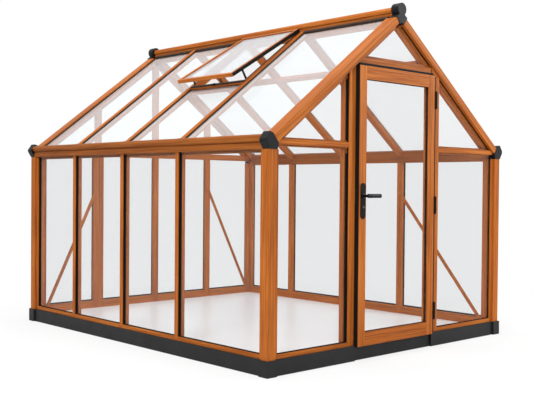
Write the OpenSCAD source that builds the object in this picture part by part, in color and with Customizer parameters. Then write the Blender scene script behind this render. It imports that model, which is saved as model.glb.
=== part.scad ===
// Wooden garden greenhouse with a hinged glazed door, a ridge-hung roof vent and polycarbonate panes.
// X runs across the gables, Y along the ridge with the door gable at -Y, Z up from the ground.

/* [House] */
// Width over the corner posts
frame_w = 2400; // [2200:10:2700]
// Length of each of the three rear bays
bay_l = 650; // [560:10:750]
// Length of the bay behind the door gable
front_bay_l = 910; // [760:10:1000]
// Height of the corner post tops
eave_h = 1335; // [1250:5:1450]
// Roof pitch in degrees
pitch = 37; // [35:0.5:39]
// Distance of the outer rear mullions from the middle
rear_mullion_x = 600; // [520:10:680]

/* [Base] */
// Height of the base rails
base_h = 98; // [80:2:120]
// Sheet thickness of the base rails
base_wall = 4; // [3:0.5:6]
// How far the corner covers stand out past the posts
cover_out = 10; // [8:1:14]
// Length of each corner cover leg
cover_leg = 78; // [60:2:110]
// Thickness of the corner covers
cover_t = 14; // [12:1:16]
// Depth by which the door threshold lies back from the base rails
threshold_in = 14; // [8:1:18]
// Depth by which the threshold's top lies below the base rails
threshold_drop = 10; // [8:1:14]
// Thickness of the floor deck
deck_t = 18; // [12:1:24]
// Height of the floor deck's surface above the ground
deck_h = 60; // [56:1:62]
// Width of a floor bearer
bearer_w = 60; // [40:5:90]

/* [Glazing bars] */
// Depth by which the glazing lies back from the post faces
glaze_in = 16; // [10:1:20]
// Width of the outer cap of a bar
cap_w = 34; // [28:1:40]
// Thickness of the outer cap
cap_t = 8; // [6:1:10]
// Thickness of the rubber between cap and pane
seal_t = 12; // [8:1:14]
// Thickness of a pane
pane_t = 4; // [3:0.5:6]
// Width of the inner flange of a bar
flange_w = 54; // [48:1:60]
// Thickness of the inner flange
flange_t = 30; // [24:1:36]
// Width of the web between cap and flange
web_w = 12; // [8:1:14]
// Chamfer on the edges of bars and posts
bar_edge = 2.5; // [1:0.5:3]
// Clearance between a pane's edge and the web
pane_gap = 2; // [1:0.5:3]

/* [Posts] */
// Face width of a corner post
post_w = 64; // [58:1:70]
// Face width of the post on the latch side of the door
latch_post_w = 58; // [54:1:70]
// Face width of the post on the hinge side of the door
hinge_post_w = 85; // [76:1:95]

/* [Roof] */
// Height of the bar tops above the post tops at the outer post face
roof_rise = 51; // [47:1:55]
// Face height of a gable rafter
rafter_h = 50; // [46:1:54]
// Width of the ridge bar
ridge_bar_w = 46; // [40:1:52]
// Height of the ridge bar
ridge_bar_h = 38; // [34:1:44]
// Radius of the rolled lip of the eave beam
gutter_r = 22; // [18:1:24]
// Height of the flat fascia of the eave beam
fascia_h = 38; // [34:1:40]

/* [Connectors] */
// Depth of the eave connectors along the ridge direction
conn_d = 58; // [54:1:62]
// Radius of the round cap on the ridge connectors
ridge_cap_r = 43; // [38:1:48]
// Length of the arms of the ridge connectors
ridge_arm_l = 66; // [60:1:74]

/* [Door] */
// Width of the door leaf
door_w = 786; // [740:2:800]
// Gap between the leaf's upper corner and the gable rafter above it
door_head_gap = 8; // [7.5:0.5:20]
// Thickness of the door leaf
door_t = 44; // [42:1:46]
// Sideways offset of the door leaf's middle
door_x = -36; // [-50:1:-20]
// How far the leaf stands out past the glazing plane
door_out = 31; // [29:1:33]
// Face width of the door stiles
stile_w = 68; // [62:1:76]
// Face height of the top door rail
top_rail_h = 85; // [70:1:100]
// Face height of the bottom door rail
kick_rail_h = 88; // [70:1:120]
// Gap between leaf and latch post
latch_gap = 4; // [3:0.5:5]
// Gap between leaf and hinge post
hinge_gap = 8; // [6:0.5:9]
// Height of the lever above the ground
lever_z = 1060; // [1000:1:1120]
// Length of the lever grips
lever_l = 125; // [100:1:140]

/* [Vent] */
// Distance of the sill from the ridge down the slope
sill_s = 710; // [620:2:780]
// Length of the vent past the sill's upper edge
vent_over = 98; // [70:1:110]
// Opening angle at which the vent is propped
vent_open = 6; // [5:0.5:12]
// Face width of the vent frame bars
vent_bar_w = 24; // [22:1:30]
// Thickness of the vent frame bars
vent_bar_t = 26; // [22:1:28]

/* [Hidden] */
$fn = 48;
a = frame_w / 2;
b = (3 * bay_l + front_bay_l) / 2;
slope_tan = tan(pitch);
slope_cos = cos(pitch);
slope_sin = sin(pitch);
ridge_z = eave_h + roof_rise + a * slope_tan;
fit = 0.2;

// Base rails lie back from the covers' outer faces and reach in to the inner flanges
base_face_v = cover_t - cover_out;

// Depths of the glazing layers below the outer face of a bar
pane_v = cap_t + seal_t;
flange_v = pane_v + pane_t;
bar_d = flange_v + flange_t;

// Positions of the mullions and roof bars along Y, from the door gable to the rear
bar_ys = [b - 3 * bay_l, b - 2 * bay_l, b - bay_l];

// Corner post section, measured inwards from its outer corner
arm_web_w = 12;
arm_cap_w = 26;
arm_flange_w = 38;
arm_cap_end = post_w + arm_cap_w;
arm_web = post_w + arm_web_w;
arm_flange_end = post_w + arm_flange_w;
post_depth = glaze_in + bar_d;
base_rail_d = glaze_in + flange_v - base_face_v;
sheet_t = pane_t - fit / 2;

// Door opening
door_x0 = door_x - door_w / 2;
door_x1 = door_x + door_w / 2;
leaf_seal_t = 2.5;
leaf_foot_gap = 4;
door_z0 = base_h - threshold_drop + leaf_foot_gap;
leaf_corner_x = max(abs(door_x0) + leaf_seal_t, abs(door_x1));
door_z1 = roof_z(leaf_corner_x, rafter_h) - door_head_gap;
door_h = door_z1 - door_z0;
latch_face1 = door_x0 - latch_gap;
latch_face0 = latch_face1 - latch_post_w;
hinge_face0 = door_x1 + hinge_gap;
hinge_face1 = hinge_face0 + hinge_post_w;
door_face_v = glaze_in - door_out;
door_back_v = door_face_v + door_t;
stop_gap = 3;
stop_v = door_back_v + stop_gap;
stop_w = 16;
latch_stop = latch_face1 + stop_w;
hinge_stop = hinge_face0 - stop_w;
post_flange_out = 26;
rebate_w = 12;
lintel_gap = 17;
lintel_stop_down = 10;
lintel_z0 = door_z1 + lintel_gap;
lintel_h = 36;
lintel_z1 = lintel_z0 + lintel_h;
lintel_flange_up = 22;

// Eave-level rails across the gables
eave_rail_up = 48;
eave_rail_z = eave_h + eave_rail_up;

// Bottom rails
bottom_cap_h = 26;
bottom_pocket_z = 14;
bottom_flange_up = 22;
bottom_flange_down = base_h - deck_h;

// Eave beam section, x inwards from the post face and z up from the post top
beam_face_x = -2;
beam_pocket_h = 12;
beam_flange_down = 18;
gutter_x = 4;
gutter_z = 66;
gutter_floor_z = 22;
gutter_wall_t = 9;
gutter_lip = 4;
gutter_heel = 10;
fascia_back = 7;
fascia_step = 6;
beam_wall_x = 52;

// Eave connector section in the same axes
conn_foot_w = 66;
conn_reach = 71;
conn_front = 5;
conn_out = 30;
conn_top = 104;
conn_under = 5;
conn_over = 16;
conn_bevel = 4;
conn_nose_z = 58;
conn_chin_z = 40;
rafter_foot_s = (a - conn_reach + rafter_h * slope_sin) / slope_cos;

// Section of a gable rafter, inwards from the post face and by depth below the roof plane
rafter_in = 2;
rafter_lip_t = 8;
rafter_cap_end = arm_cap_end + rafter_in;
rafter_web = arm_web + rafter_in;
rafter_flange_end = arm_flange_end + rafter_in;

// Ridge section
neck_w = 24;
ridge_lift = 3;
ridge_wing_s = ridge_arm_l;
bar_top_s = 40;
bar_foot_x = 32;

// Overall reach in Y, used to centre the part on its origin
lever_standoff = 48;
lever_r = 11;
front_reach = b - door_face_v + lever_standoff + lever_r;
rear_reach = b + cover_out;
y_shift = (front_reach - rear_reach) / 2;

// Height of the roof's outer plane at a place across the gable, less a depth square to the slope
function roof_z(x, v = 0) = ridge_z - abs(x) * slope_tan - v / slope_cos;

// Distance down the slope at which the plane at depth v stands over a given x
function slope_s(x, v = 0) = (x + v * slope_sin) / slope_cos;

// Colours of the finished materials
wood = [0.72, 0.42, 0.22];
charcoal = [0.22, 0.22, 0.23];
rubber = [0.06, 0.06, 0.06];
clear = [0.85, 0.89, 0.90, 0.35];
deck_grey = [0.86, 0.86, 0.84];
metal = [0.70, 0.70, 0.72];

// Placement helpers

module placed() {
    translate([0, y_shift, 0]) children();
}

// Local axes of a wall: x along the wall, y inwards from the post face, z up
module front_wall() {
    translate([0, -b, 0]) children();
}

module rear_wall() {
    translate([0, b, 0]) mirror([0, 1, 0]) children();
}

module right_wall() {
    translate([a, 0, 0]) rotate([0, 0, 90]) children();
}

module left_wall() {
    mirror([1, 0, 0]) right_wall() children();
}

// Local axes of a roof slope: x down the slope from the ridge line, y along the ridge, z outwards
module right_slope() {
    translate([0, 0, ridge_z]) rotate([0, pitch, 0]) children();
}

module left_slope() {
    mirror([1, 0, 0]) right_slope() children();
}

// Carries a section drawn in (y, z) along x
module along_x(x0, x1) {
    translate([x0, 0, 0]) rotate([90, 0, 90]) linear_extrude(height = x1 - x0) children();
}

// Carries a section drawn in (x, z) along y
module along_y(y0, y1) {
    translate([0, y1, 0]) rotate([90, 0, 0]) linear_extrude(height = y1 - y0) children();
}

// Carries a section drawn in (across, depth) down a roof slope
module along_slope(s0, s1) {
    along_x(s0, s1) mirror([0, 1]) children();
}

// Sections of the glazing bar, across and by depth

module bar_head_section() {
    c = cap_w / 2;
    w = web_w / 2;
    polygon([
        [-c, bar_edge], [-c + bar_edge, 0], [c - bar_edge, 0], [c, bar_edge],
        [c, cap_t], [w, cap_t], [w, flange_v], [-w, flange_v], [-w, cap_t], [-c, cap_t]
    ]);
}

module bar_flange_section(w = flange_w) {
    h = w / 2;
    polygon([
        [-h, flange_v], [h, flange_v], [h, bar_d - bar_edge], [h - bar_edge, bar_d],
        [-h + bar_edge, bar_d], [-h, bar_d - bar_edge]
    ]);
}

// Upright bar of a wall at x, from z0 to z1, with its flange from f0 to f1
module mullion(x, z0, z1, f0, f1, w = flange_w) {
    translate([x, glaze_in, 0]) {
        translate([0, 0, z0]) linear_extrude(height = z1 - z0) bar_head_section();
        translate([0, 0, f0]) linear_extrude(height = f1 - f0) bar_flange_section(w);
    }
}

// Level bar of a wall at height z, with its head from x0 to x1 and its flange from f0 to f1
module level_bar(z, x0, x1, f0, f1) {
    translate([0, glaze_in, z]) {
        along_x(x0, x1) rotate(90) mirror([0, 1]) bar_head_section();
        along_x(f0, f1) rotate(90) mirror([0, 1]) bar_flange_section();
    }
}

// Base

module base_section() {
    difference() {
        translate([base_face_v, 0]) square([base_rail_d, base_h]);
        translate([base_face_v + base_wall, base_wall])
            square([base_rail_d, base_h - 2 * base_wall]);
    }
}

base_end = a - base_face_v - base_rail_d;
rail_end_gap = 3;

// Cap that closes the end of a rail beside the door
module base_end_cap(x) {
    along_x(x, x + base_wall) translate([base_face_v, 0]) square([base_rail_d, base_h]);
}

module base_rails() color(charcoal) placed() {
    reach = b - base_face_v;
    left_wall() along_x(-reach, reach) base_section();
    right_wall() along_x(-reach, reach) base_section();
    rear_wall() along_x(-base_end, base_end) base_section();
    front_wall() {
        along_x(-base_end, latch_face1 - fit) base_section();
        along_x(hinge_face0 + rail_end_gap, base_end) base_section();
        base_end_cap(latch_face1 - fit - base_wall);
        base_end_cap(hinge_face0 + rail_end_gap);
    }
}

module door_threshold() color(charcoal) placed() front_wall() {
    top_z = base_h - threshold_drop;
    along_x(latch_face1, hinge_face0) polygon([
        [base_face_v + threshold_in, 0], [base_face_v + base_rail_d, 0],
        [base_face_v + base_rail_d, top_z], [base_face_v + threshold_in + bar_edge, top_z],
        [base_face_v + threshold_in, top_z - bar_edge]
    ]);
}

module cover_plan() {
    polygon([
        [bar_edge, 0], [cover_leg, 0], [cover_leg, cover_t], [cover_t, cover_t],
        [cover_t, cover_leg], [0, cover_leg], [0, bar_edge]
    ]);
}

module base_corner_covers() color(charcoal) placed() {
    for (sx = [0, 1], sy = [0, 1])
        mirror([sx, 0, 0]) mirror([0, sy, 0])
            translate([-a - cover_out, -b - cover_out, 0])
                linear_extrude(height = base_h) cover_plan();
}

// Floor

floor_x = a - base_face_v - base_rail_d - 1;
floor_y = b - base_face_v - base_rail_d - 1;
bearer_count = 5;

module floor_bearers() color(wood) placed() {
    for (i = [0 : bearer_count - 1])
        translate([-floor_x, -floor_y + i * (2 * floor_y - bearer_w) / (bearer_count - 1), 0])
            cube([2 * floor_x, bearer_w, deck_h - deck_t]);
}

module floor_deck() color(deck_grey) placed() {
    for (sy = [0, 1])
        mirror([0, sy, 0]) translate([-floor_x, fit / 2, deck_h - deck_t])
            cube([2 * floor_x, floor_y - fit / 2, deck_t]);
}

// Posts and mullions

module corner_section() {
    v0 = glaze_in;
    v1 = glaze_in + cap_t;
    v2 = glaze_in + flange_v;
    d = post_depth;
    polygon([
        [bar_edge, 0], [post_w - bar_edge, 0], [post_w, bar_edge], [post_w, v0],
        [arm_cap_end, v0], [arm_cap_end, v1], [arm_web, v1], [arm_web, v2],
        [arm_flange_end, v2], [arm_flange_end, d], [d, d], [d, arm_flange_end],
        [v2, arm_flange_end], [v2, arm_web], [v1, arm_web], [v1, arm_cap_end],
        [v0, arm_cap_end], [v0, post_w], [bar_edge, post_w], [0, post_w - bar_edge], [0, bar_edge]
    ]);
}

module corner_foot_section() {
    v2 = glaze_in + flange_v;
    d = post_depth;
    polygon([
        [v2, v2], [arm_flange_end, v2], [arm_flange_end, d], [d, d], [d, arm_flange_end],
        [v2, arm_flange_end]
    ]);
}

// Tenon on the post top that enters the eave connector
tenon_w = 26;
tenon_h = 22;
tenon_at = 20;

module corner_posts() color(wood) placed() {
    for (sx = [0, 1], sy = [0, 1])
        mirror([sx, 0, 0]) mirror([0, sy, 0]) translate([-a, -b, 0]) {
            translate([0, 0, base_h]) linear_extrude(height = eave_h - base_h) corner_section();
            translate([0, 0, deck_h]) linear_extrude(height = base_h - deck_h) corner_foot_section();
            translate([tenon_at, tenon_at, eave_h]) cube([tenon_w, tenon_w, tenon_h]);
        }
}

module side_mullions() color(wood) placed() for (y = bar_ys) {
    left_wall() mullion(y, base_h, eave_h, deck_h, eave_h - beam_flange_down);
    right_wall() mullion(y, base_h, eave_h, deck_h, eave_h - beam_flange_down);
}

// The first rear mullion is a pair, where the two halves of the rear wall meet
pair_half = 24;
pair_flange_w = 2 * pair_half - fit;
rear_rail_gap = flange_w / 2;
rear_bars = [
    [-rear_mullion_x - pair_half, pair_flange_w], [-rear_mullion_x + pair_half, pair_flange_w],
    [0, flange_w], [rear_mullion_x, flange_w]
];

module rear_mullions() color(wood) placed() rear_wall() {
    for (m = rear_bars)
        mullion(m[0], base_h, eave_rail_z - cap_w / 2, deck_h, eave_rail_z - rear_rail_gap, m[1]);
    for (m = [rear_bars[0], rear_bars[2], rear_bars[3]])
        gable_mullion(m[0] + (m[0] == rear_bars[0][0] ? pair_half : 0));
}

// Upright bar above the eave-level rail, cut off along the gable rafter
module gable_mullion(x) {
    intersection() {
        mullion(x, eave_rail_z + cap_w / 2, ridge_z, eave_rail_z + rear_rail_gap, ridge_z);
        union() {
            along_y(0, glaze_in + flange_v) gable_outline(rafter_h + fit, eave_rail_z);
            along_y(glaze_in + flange_v, post_depth) gable_outline(gable_flange_v + fit, eave_rail_z);
        }
    }
}

// Triangle under the roof plane at depth v, above height z0, cut off flat below the ridge connector
rafter_flange_gap = 30;
gable_flange_v = rafter_h + rafter_flange_gap;
gable_top_drop = 92;

module gable_outline(v, z0) {
    plane_z = ridge_z - v / slope_cos;
    flat_z = min(ridge_z - gable_top_drop, plane_z - 1);
    half = (plane_z - z0) / slope_tan;
    flat_x = (plane_z - flat_z) / slope_tan;
    polygon([[-half, z0], [half, z0], [flat_x, flat_z], [-flat_x, flat_z]]);
}

// Bottom rails

module bottom_head_section() {
    translate([glaze_in, base_h]) polygon([
        [0, 0], [flange_v, 0], [flange_v, bottom_pocket_z], [cap_t, bottom_pocket_z],
        [cap_t, bottom_cap_h], [bar_edge, bottom_cap_h], [0, bottom_cap_h - bar_edge]
    ]);
}

module bottom_flange_section() {
    translate([glaze_in + flange_v, base_h]) polygon([
        [0, -bottom_flange_down], [flange_t, -bottom_flange_down],
        [flange_t, bottom_flange_up - bar_edge], [flange_t - bar_edge, bottom_flange_up],
        [0, bottom_flange_up]
    ]);
}

module bottom_rail(x0, x1, f0, f1) {
    along_x(x0, x1) bottom_head_section();
    along_x(f0, f1) bottom_flange_section();
}

// Edges of the bays of a wall: heads, flanges and webs of the bars that bound them
function bar_gap(w = flange_w) = [cap_w / 2 + fit, w / 2 + fit, web_w / 2];
corner_gap = [arm_cap_end + fit, arm_flange_end + fit, arm_web];

side_marks = concat([[-b, corner_gap]], [for (y = bar_ys) [y, bar_gap()]], [[b, corner_gap]]);
rear_marks = concat([[-a, corner_gap]], [for (m = rear_bars) [m[0], bar_gap(m[1])]], [[a, corner_gap]]);

module bottom_rails(marks) {
    for (i = [0 : len(marks) - 2])
        if (marks[i + 1][0] - marks[i][0] > 2 * flange_w)
            bottom_rail(
                marks[i][0] + marks[i][1][0], marks[i + 1][0] - marks[i + 1][1][0],
                marks[i][0] + marks[i][1][1], marks[i + 1][0] - marks[i + 1][1][1]
            );
}

module side_bottom_rails() color(wood) placed() {
    left_wall() bottom_rails(side_marks);
    right_wall() bottom_rails(side_marks);
}

module rear_bottom_rails() color(wood) placed() rear_wall() bottom_rails(rear_marks);

module front_bottom_rails() color(wood) placed() front_wall() {
    bottom_rail(
        -a + corner_gap[0], latch_face0 - fit,
        -a + corner_gap[1], latch_face0 - post_flange_out - fit
    );
    bottom_rail(
        hinge_face1 + fit, a - corner_gap[0],
        hinge_face1 + post_flange_out + fit, a - corner_gap[1]
    );
}

// Door posts and lintel

module door_post_section(w) {
    polygon([
        [bar_edge, glaze_in], [w - bar_edge, glaze_in], [w, glaze_in + bar_edge], [w, stop_v],
        [w + stop_w, stop_v], [w + stop_w, post_depth], [-post_flange_out, post_depth],
        [-post_flange_out, glaze_in + flange_v], [rebate_w, glaze_in + flange_v],
        [rebate_w, glaze_in + cap_t], [0, glaze_in + cap_t], [0, glaze_in + bar_edge]
    ]);
}

module under_gable_rafter() {
    intersection() {
        children();
        union() {
            along_y(0, glaze_in + flange_v) gable_outline(rafter_h + fit, 0);
            along_y(glaze_in + flange_v, post_depth) gable_outline(gable_flange_v + fit, 0);
        }
    }
}

// Mortise in the latch post for the bolt
bolt_w = 7;
bolt_h = 24;
bolt_v = glaze_in + 6.5;
bolt_out = latch_gap - 0.5;
mortise_d = 12;
mortise_play = 0.5;
mortise_h = bolt_h + 2;
strike_t = 2;
strike_h = 96;

module latch_post() color(wood) placed() front_wall() difference() {
    under_gable_rafter() translate([latch_face0, 0, base_h])
        linear_extrude(height = ridge_z - base_h) door_post_section(latch_post_w);
    translate([latch_face1 - mortise_d, bolt_v - bolt_w / 2 - mortise_play, lever_z - mortise_h / 2])
        cube([2 * mortise_d, bolt_w + 2 * mortise_play, mortise_h]);
    translate([latch_face1 - strike_t - fit, glaze_in + 1 - fit, lever_z - strike_h / 2])
        cube([mortise_d, stop_v - glaze_in - 2 + 2 * fit, strike_h]);
}

module hinge_post() color(wood) placed() front_wall() under_gable_rafter()
    translate([hinge_face1, 0, base_h]) mirror([1, 0, 0])
        linear_extrude(height = ridge_z - base_h) door_post_section(hinge_post_w);

module strike_plate() color(metal) placed() front_wall() difference() {
    translate([latch_face1 - strike_t, glaze_in + 1, lever_z - strike_h / 2 + fit])
        cube([strike_t, stop_v - glaze_in - 2, strike_h - 2 * fit]);
    translate([latch_face1 - strike_t - 1, bolt_v - bolt_w / 2 - mortise_play, lever_z - mortise_h / 2])
        cube([strike_t + 2, bolt_w + 2 * mortise_play, mortise_h]);
}

// Where the eave-level rails end beside the connectors
conn_edge = a - conn_reach - 6;

module front_eave_rails() color(wood) placed() front_wall() under_gable_rafter() {
    level_bar(
        eave_rail_z, -conn_edge, latch_face0 - fit,
        -conn_edge, latch_face0 - post_flange_out - fit
    );
    level_bar(
        eave_rail_z, hinge_face1 + fit, conn_edge,
        hinge_face1 + post_flange_out + fit, conn_edge
    );
}

module rear_eave_rail() color(wood) placed() rear_wall() under_gable_rafter() {
    level_bar(eave_rail_z, -conn_edge, conn_edge, -conn_edge, conn_edge);
}

module lintel_section() {
    polygon([
        [glaze_in, lintel_z0], [stop_v, lintel_z0],
        [stop_v, door_z1 - lintel_stop_down], [post_depth, door_z1 - lintel_stop_down],
        [post_depth, lintel_z1 + lintel_flange_up], [glaze_in + flange_v, lintel_z1 + lintel_flange_up],
        [glaze_in + flange_v, lintel_z1 - rebate_w], [glaze_in + cap_t, lintel_z1 - rebate_w],
        [glaze_in + cap_t, lintel_z1], [glaze_in, lintel_z1]
    ]);
}

module door_lintel() color(wood) placed() front_wall() difference() {
    under_gable_rafter() along_x(-a, a) lintel_section();
    translate([latch_face0 - a, 0, 0]) cube([a + latch_post_w + stop_w + fit, post_depth + 1, ridge_z]);
    translate([hinge_face0 - stop_w - fit, 0, 0]) cube([a, post_depth + 1, ridge_z]);
}

// Roof

module beam_section() {
    translate([0, eave_h]) union() {
        polygon([
            [beam_face_x + bar_edge, 0], [glaze_in + cap_t, 0], [glaze_in + cap_t, beam_pocket_h],
            [glaze_in + flange_v, beam_pocket_h], [glaze_in + flange_v, fit],
            [post_depth, fit], [post_depth, beam_top_z(post_depth)],
            [beam_wall_x, beam_top_z(beam_wall_x)], [beam_wall_x, gutter_floor_z],
            [gutter_x + gutter_r - gutter_lip, gutter_floor_z],
            [gutter_x + gutter_r - gutter_lip, gutter_z - gutter_heel - gutter_lip],
            [gutter_x, gutter_z - gutter_heel], [gutter_x - gutter_heel, fascia_h + fascia_step],
            [beam_face_x + fascia_back, fascia_h + fascia_step], [beam_face_x + fascia_back, fascia_h],
            [beam_face_x, fascia_h - bar_edge], [beam_face_x, bar_edge]
        ]);
        difference() {
            translate([gutter_x, gutter_z]) circle(r = gutter_r);
            translate([gutter_x + 2, gutter_z]) circle(r = gutter_r - gutter_wall_t);
            translate([gutter_x + 2, gutter_z - 2 * gutter_r]) square([3 * gutter_r, 2 * gutter_r]);
        }
    }
}

// Height above the post top of the plane that carries the bar flanges
function beam_top_z(x) = roof_rise + x * slope_tan - bar_d / slope_cos - fit;

// Part of the beam that fills the gap under the panes between the bars
module upstand_section() {
    polygon([
        [beam_wall_x, gutter_floor_z - 2], [post_depth, gutter_floor_z - 2],
        [post_depth, pane_under_z(post_depth)], [beam_wall_x, pane_under_z(beam_wall_x)]
    ]);
}

function pane_under_z(x) = roof_rise + x * slope_tan - flange_v / slope_cos - fit;

flange_marks = concat(
    [[-b, rafter_flange_end]], [for (y = bar_ys) [y, flange_w / 2]], [[b, rafter_flange_end]]
);

module eave_beam() {
    half = b - conn_d;
    flange_half = b - arm_flange_end - fit;
    along_y(-half, half) translate([-a, 0]) beam_section();
    for (i = [0 : 3])
        along_y(
            flange_marks[i][0] + flange_marks[i][1] + fit,
            flange_marks[i + 1][0] - flange_marks[i + 1][1] - fit
        ) translate([-a, eave_h]) upstand_section();
    translate([-a + glaze_in + flange_v, -flange_half, eave_h - beam_flange_down])
        cube([flange_t, 2 * flange_half, beam_flange_down + 1]);
}

module eave_beam_left() color(wood) placed() eave_beam();

module eave_beam_right() color(wood) placed() mirror([1, 0, 0]) eave_beam();

module slope_layer_section(s0, s1, v0, v1) {
    rotate(-pitch) translate([s0, -v1]) square([s1 - s0, v1 - v0]);
}

module ridge_section() {
    r = ridge_bar_w / 2;
    neck_drop = 48;
    translate([0, ridge_z]) union() {
        translate([-neck_w / 2, -neck_drop]) square([neck_w, neck_drop + ridge_lift + 2]);
        translate([-r, ridge_lift]) square([ridge_bar_w, ridge_bar_h - r]);
        intersection() {
            translate([0, ridge_lift + ridge_bar_h - r]) circle(r = r);
            translate([-r, ridge_lift + ridge_bar_h - r - 1]) square([ridge_bar_w, r + 2]);
        }
        for (m = [0, 1])
            mirror([m, 0]) intersection() {
                slope_layer_section(0, ridge_wing_s, flange_v, bar_d);
                translate([0, -ridge_wing_s * 2]) square([ridge_wing_s, ridge_wing_s * 2]);
            }
    }
}

ridge_end = b - conn_d;

module ridge_beam() color(wood) placed() along_y(-ridge_end, ridge_end) ridge_section();

// Strips between the roof bars that close the gap over the pane tops
ridge_seal_w = 20;
ridge_seal_v = 2;
roof_marks = concat([[-b, rafter_cap_end]], [for (y = bar_ys) [y, cap_w / 2]], [[b, rafter_cap_end]]);

module ridge_seals() color(rubber) placed() {
    for (side = [0, 1], i = [0 : 3])
        if (!(side == 1 && i == 1))
            mirror([side, 0, 0]) right_slope() translate([slope_s(neck_w / 2 + fit, pane_v), 0, 0])
                along_slope(0, ridge_seal_w)
                    polygon([
                        [roof_marks[i][0] + roof_marks[i][1] + fit, ridge_seal_v],
                        [roof_marks[i + 1][0] - roof_marks[i + 1][1] - fit, ridge_seal_v],
                        [roof_marks[i + 1][0] - roof_marks[i + 1][1] - fit, pane_v],
                        [roof_marks[i][0] + roof_marks[i][1] + fit, pane_v]
                    ]);
}

module rafter_section() {
    v1 = glaze_in + cap_t;
    v2 = glaze_in + flange_v;
    polygon([
        [bar_edge, 0], [rafter_cap_end, 0], [rafter_cap_end, cap_t], [rafter_web, cap_t],
        [rafter_web, flange_v], [rafter_flange_end, flange_v], [rafter_flange_end, bar_d],
        [post_depth, bar_d], [post_depth, gable_flange_v], [v2, gable_flange_v],
        [v2, rafter_h - rafter_lip_t], [v1, rafter_h - rafter_lip_t], [v1, rafter_h], [bar_edge, rafter_h],
        [0, rafter_h - bar_edge], [0, bar_edge]
    ]);
}

module gable_rafters() {
    for (side = [0, 1])
        mirror([side, 0, 0]) right_slope() translate([0, -b, 0])
            along_slope(ridge_arm_l + fit, rafter_foot_s - fit) rafter_section();
}

module gable_rafters_front() color(wood) placed() gable_rafters();

module gable_rafters_rear() color(wood) placed() mirror([0, 1, 0]) gable_rafters();

// A roof bar's head runs from the ridge neck to the gutter, its flange from the ridge wing to the eave beam
bar_head_end_s = (a - bar_foot_x) / slope_cos;

module roof_bars() {
    right_slope() for (y = bar_ys)
        translate([0, y, 0]) along_slope(bar_top_s, bar_head_end_s) bar_head_section();
    intersection() {
        right_slope() for (y = bar_ys)
            translate([0, y, 0]) along_slope(ridge_wing_s + fit, a / slope_cos) bar_flange_section();
        translate([0, -b, eave_h]) cube([a - beam_wall_x, 2 * b, ridge_z]);
        translate([0, b, 0]) rotate([90, 0, 0]) linear_extrude(height = 2 * b)
            polygon([[0, ridge_z], [0, eave_h], [a - post_depth, eave_h + beam_top_z(post_depth) + fit],
                [a, eave_h + beam_top_z(0) + fit], [a, ridge_z]]);
    }
}

module roof_bars_left() color(wood) placed() mirror([1, 0, 0]) roof_bars();

module roof_bars_right() color(wood) placed() roof_bars();

// Longitudinal purlin under the right-hand roof bars
purlin_s = 425;
purlin_w = 44;
purlin_t = 28;
purlin_end_gap = 10;
purlin_half = b - post_depth - purlin_end_gap;

module roof_purlin() color(wood) placed() right_slope()
    translate([purlin_s - purlin_w / 2, -purlin_half, -bar_d - fit - purlin_t])
        cube([purlin_w, 2 * purlin_half, purlin_t]);

// Connectors

function conn_face(t) = [
    conn_reach - t * slope_sin,
    roof_rise + conn_reach * slope_tan - rafter_h / slope_cos + t * slope_cos
];

module conn_section() {
    polygon([
        [0, 0], [conn_foot_w, 0], conn_face(-conn_under), conn_face(rafter_h + conn_over),
        [conn_bevel, conn_top], [-conn_out, conn_nose_z], [-conn_out + conn_bevel, conn_chin_z]
    ]);
}

module eave_connectors() color(charcoal) placed() {
    for (sx = [0, 1], sy = [0, 1])
        mirror([sx, 0, 0]) mirror([0, sy, 0]) difference() {
            along_y(-b - conn_front, -b + conn_d - fit) translate([-a, eave_h + fit]) conn_section();
            translate([-a + tenon_at - fit, -b + tenon_at - fit, eave_h])
                cube([tenon_w + 2 * fit, tenon_w + 2 * fit, tenon_h + 1]);
        }
}

ridge_conn_drop = 6;
ridge_conn_lift = 4;
ridge_conn_lap = 40;

module ridge_conn_section() {
    translate([0, ridge_z]) union() {
        for (m = [0, 1])
            mirror([m, 0]) intersection() {
                slope_layer_section(
                    -ridge_conn_lap, ridge_arm_l, -ridge_conn_lift, rafter_h + ridge_conn_drop
                );
                translate([0, -a]) square([a, 2 * a]);
            }
        translate([0, ridge_lift + ridge_bar_h / 2 - ridge_conn_lift]) circle(r = ridge_cap_r);
    }
}

module ridge_connectors() color(charcoal) placed() {
    for (sy = [0, 1])
        mirror([0, sy, 0]) along_y(-b - conn_front, -b + conn_d - fit) ridge_conn_section();
}

// Small clips that hold the foot of each roof pane, beside the bars
clip_w = 24;
clip_l = 26;

module bar_foot_clips() color(rubber) placed() {
    for (side = [0, 1], y = bar_ys)
        mirror([side, 0, 0]) right_slope()
            translate([roof_pane_end_s - clip_l, y + cap_w / 2 + 1, -pane_v + fit])
                cube([clip_l, clip_w, pane_v - fit]);
}

// Panes and their rubber

module wall_pane(x0, x1, z0, z1) {
    translate([x0, glaze_in + pane_v, z0]) cube([x1 - x0, sheet_t, z1 - z0]);
}

pane_foot_z = base_h + bottom_pocket_z + pane_gap;
pane_head_z = eave_h + beam_pocket_h - pane_gap;

module side_panes() {
    for (i = [0 : 3])
        wall_pane(
            side_marks[i][0] + side_marks[i][1][2] + pane_gap,
            side_marks[i + 1][0] - side_marks[i + 1][1][2] - pane_gap,
            pane_foot_z, pane_head_z
        );
}

module side_panes_left() color(clear) placed() left_wall() side_panes();

module side_panes_right() color(clear) placed() right_wall() side_panes();

rail_pane_z = eave_rail_z - web_w / 2 - pane_gap;

module rear_panes() color(clear) placed() rear_wall()
    for (i = [0, 2, 3, 4])
        wall_pane(
            rear_marks[i][0] + rear_marks[i][1][2] + pane_gap,
            rear_marks[i + 1][0] - rear_marks[i + 1][1][2] - pane_gap,
            pane_foot_z, rail_pane_z
        );

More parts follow.
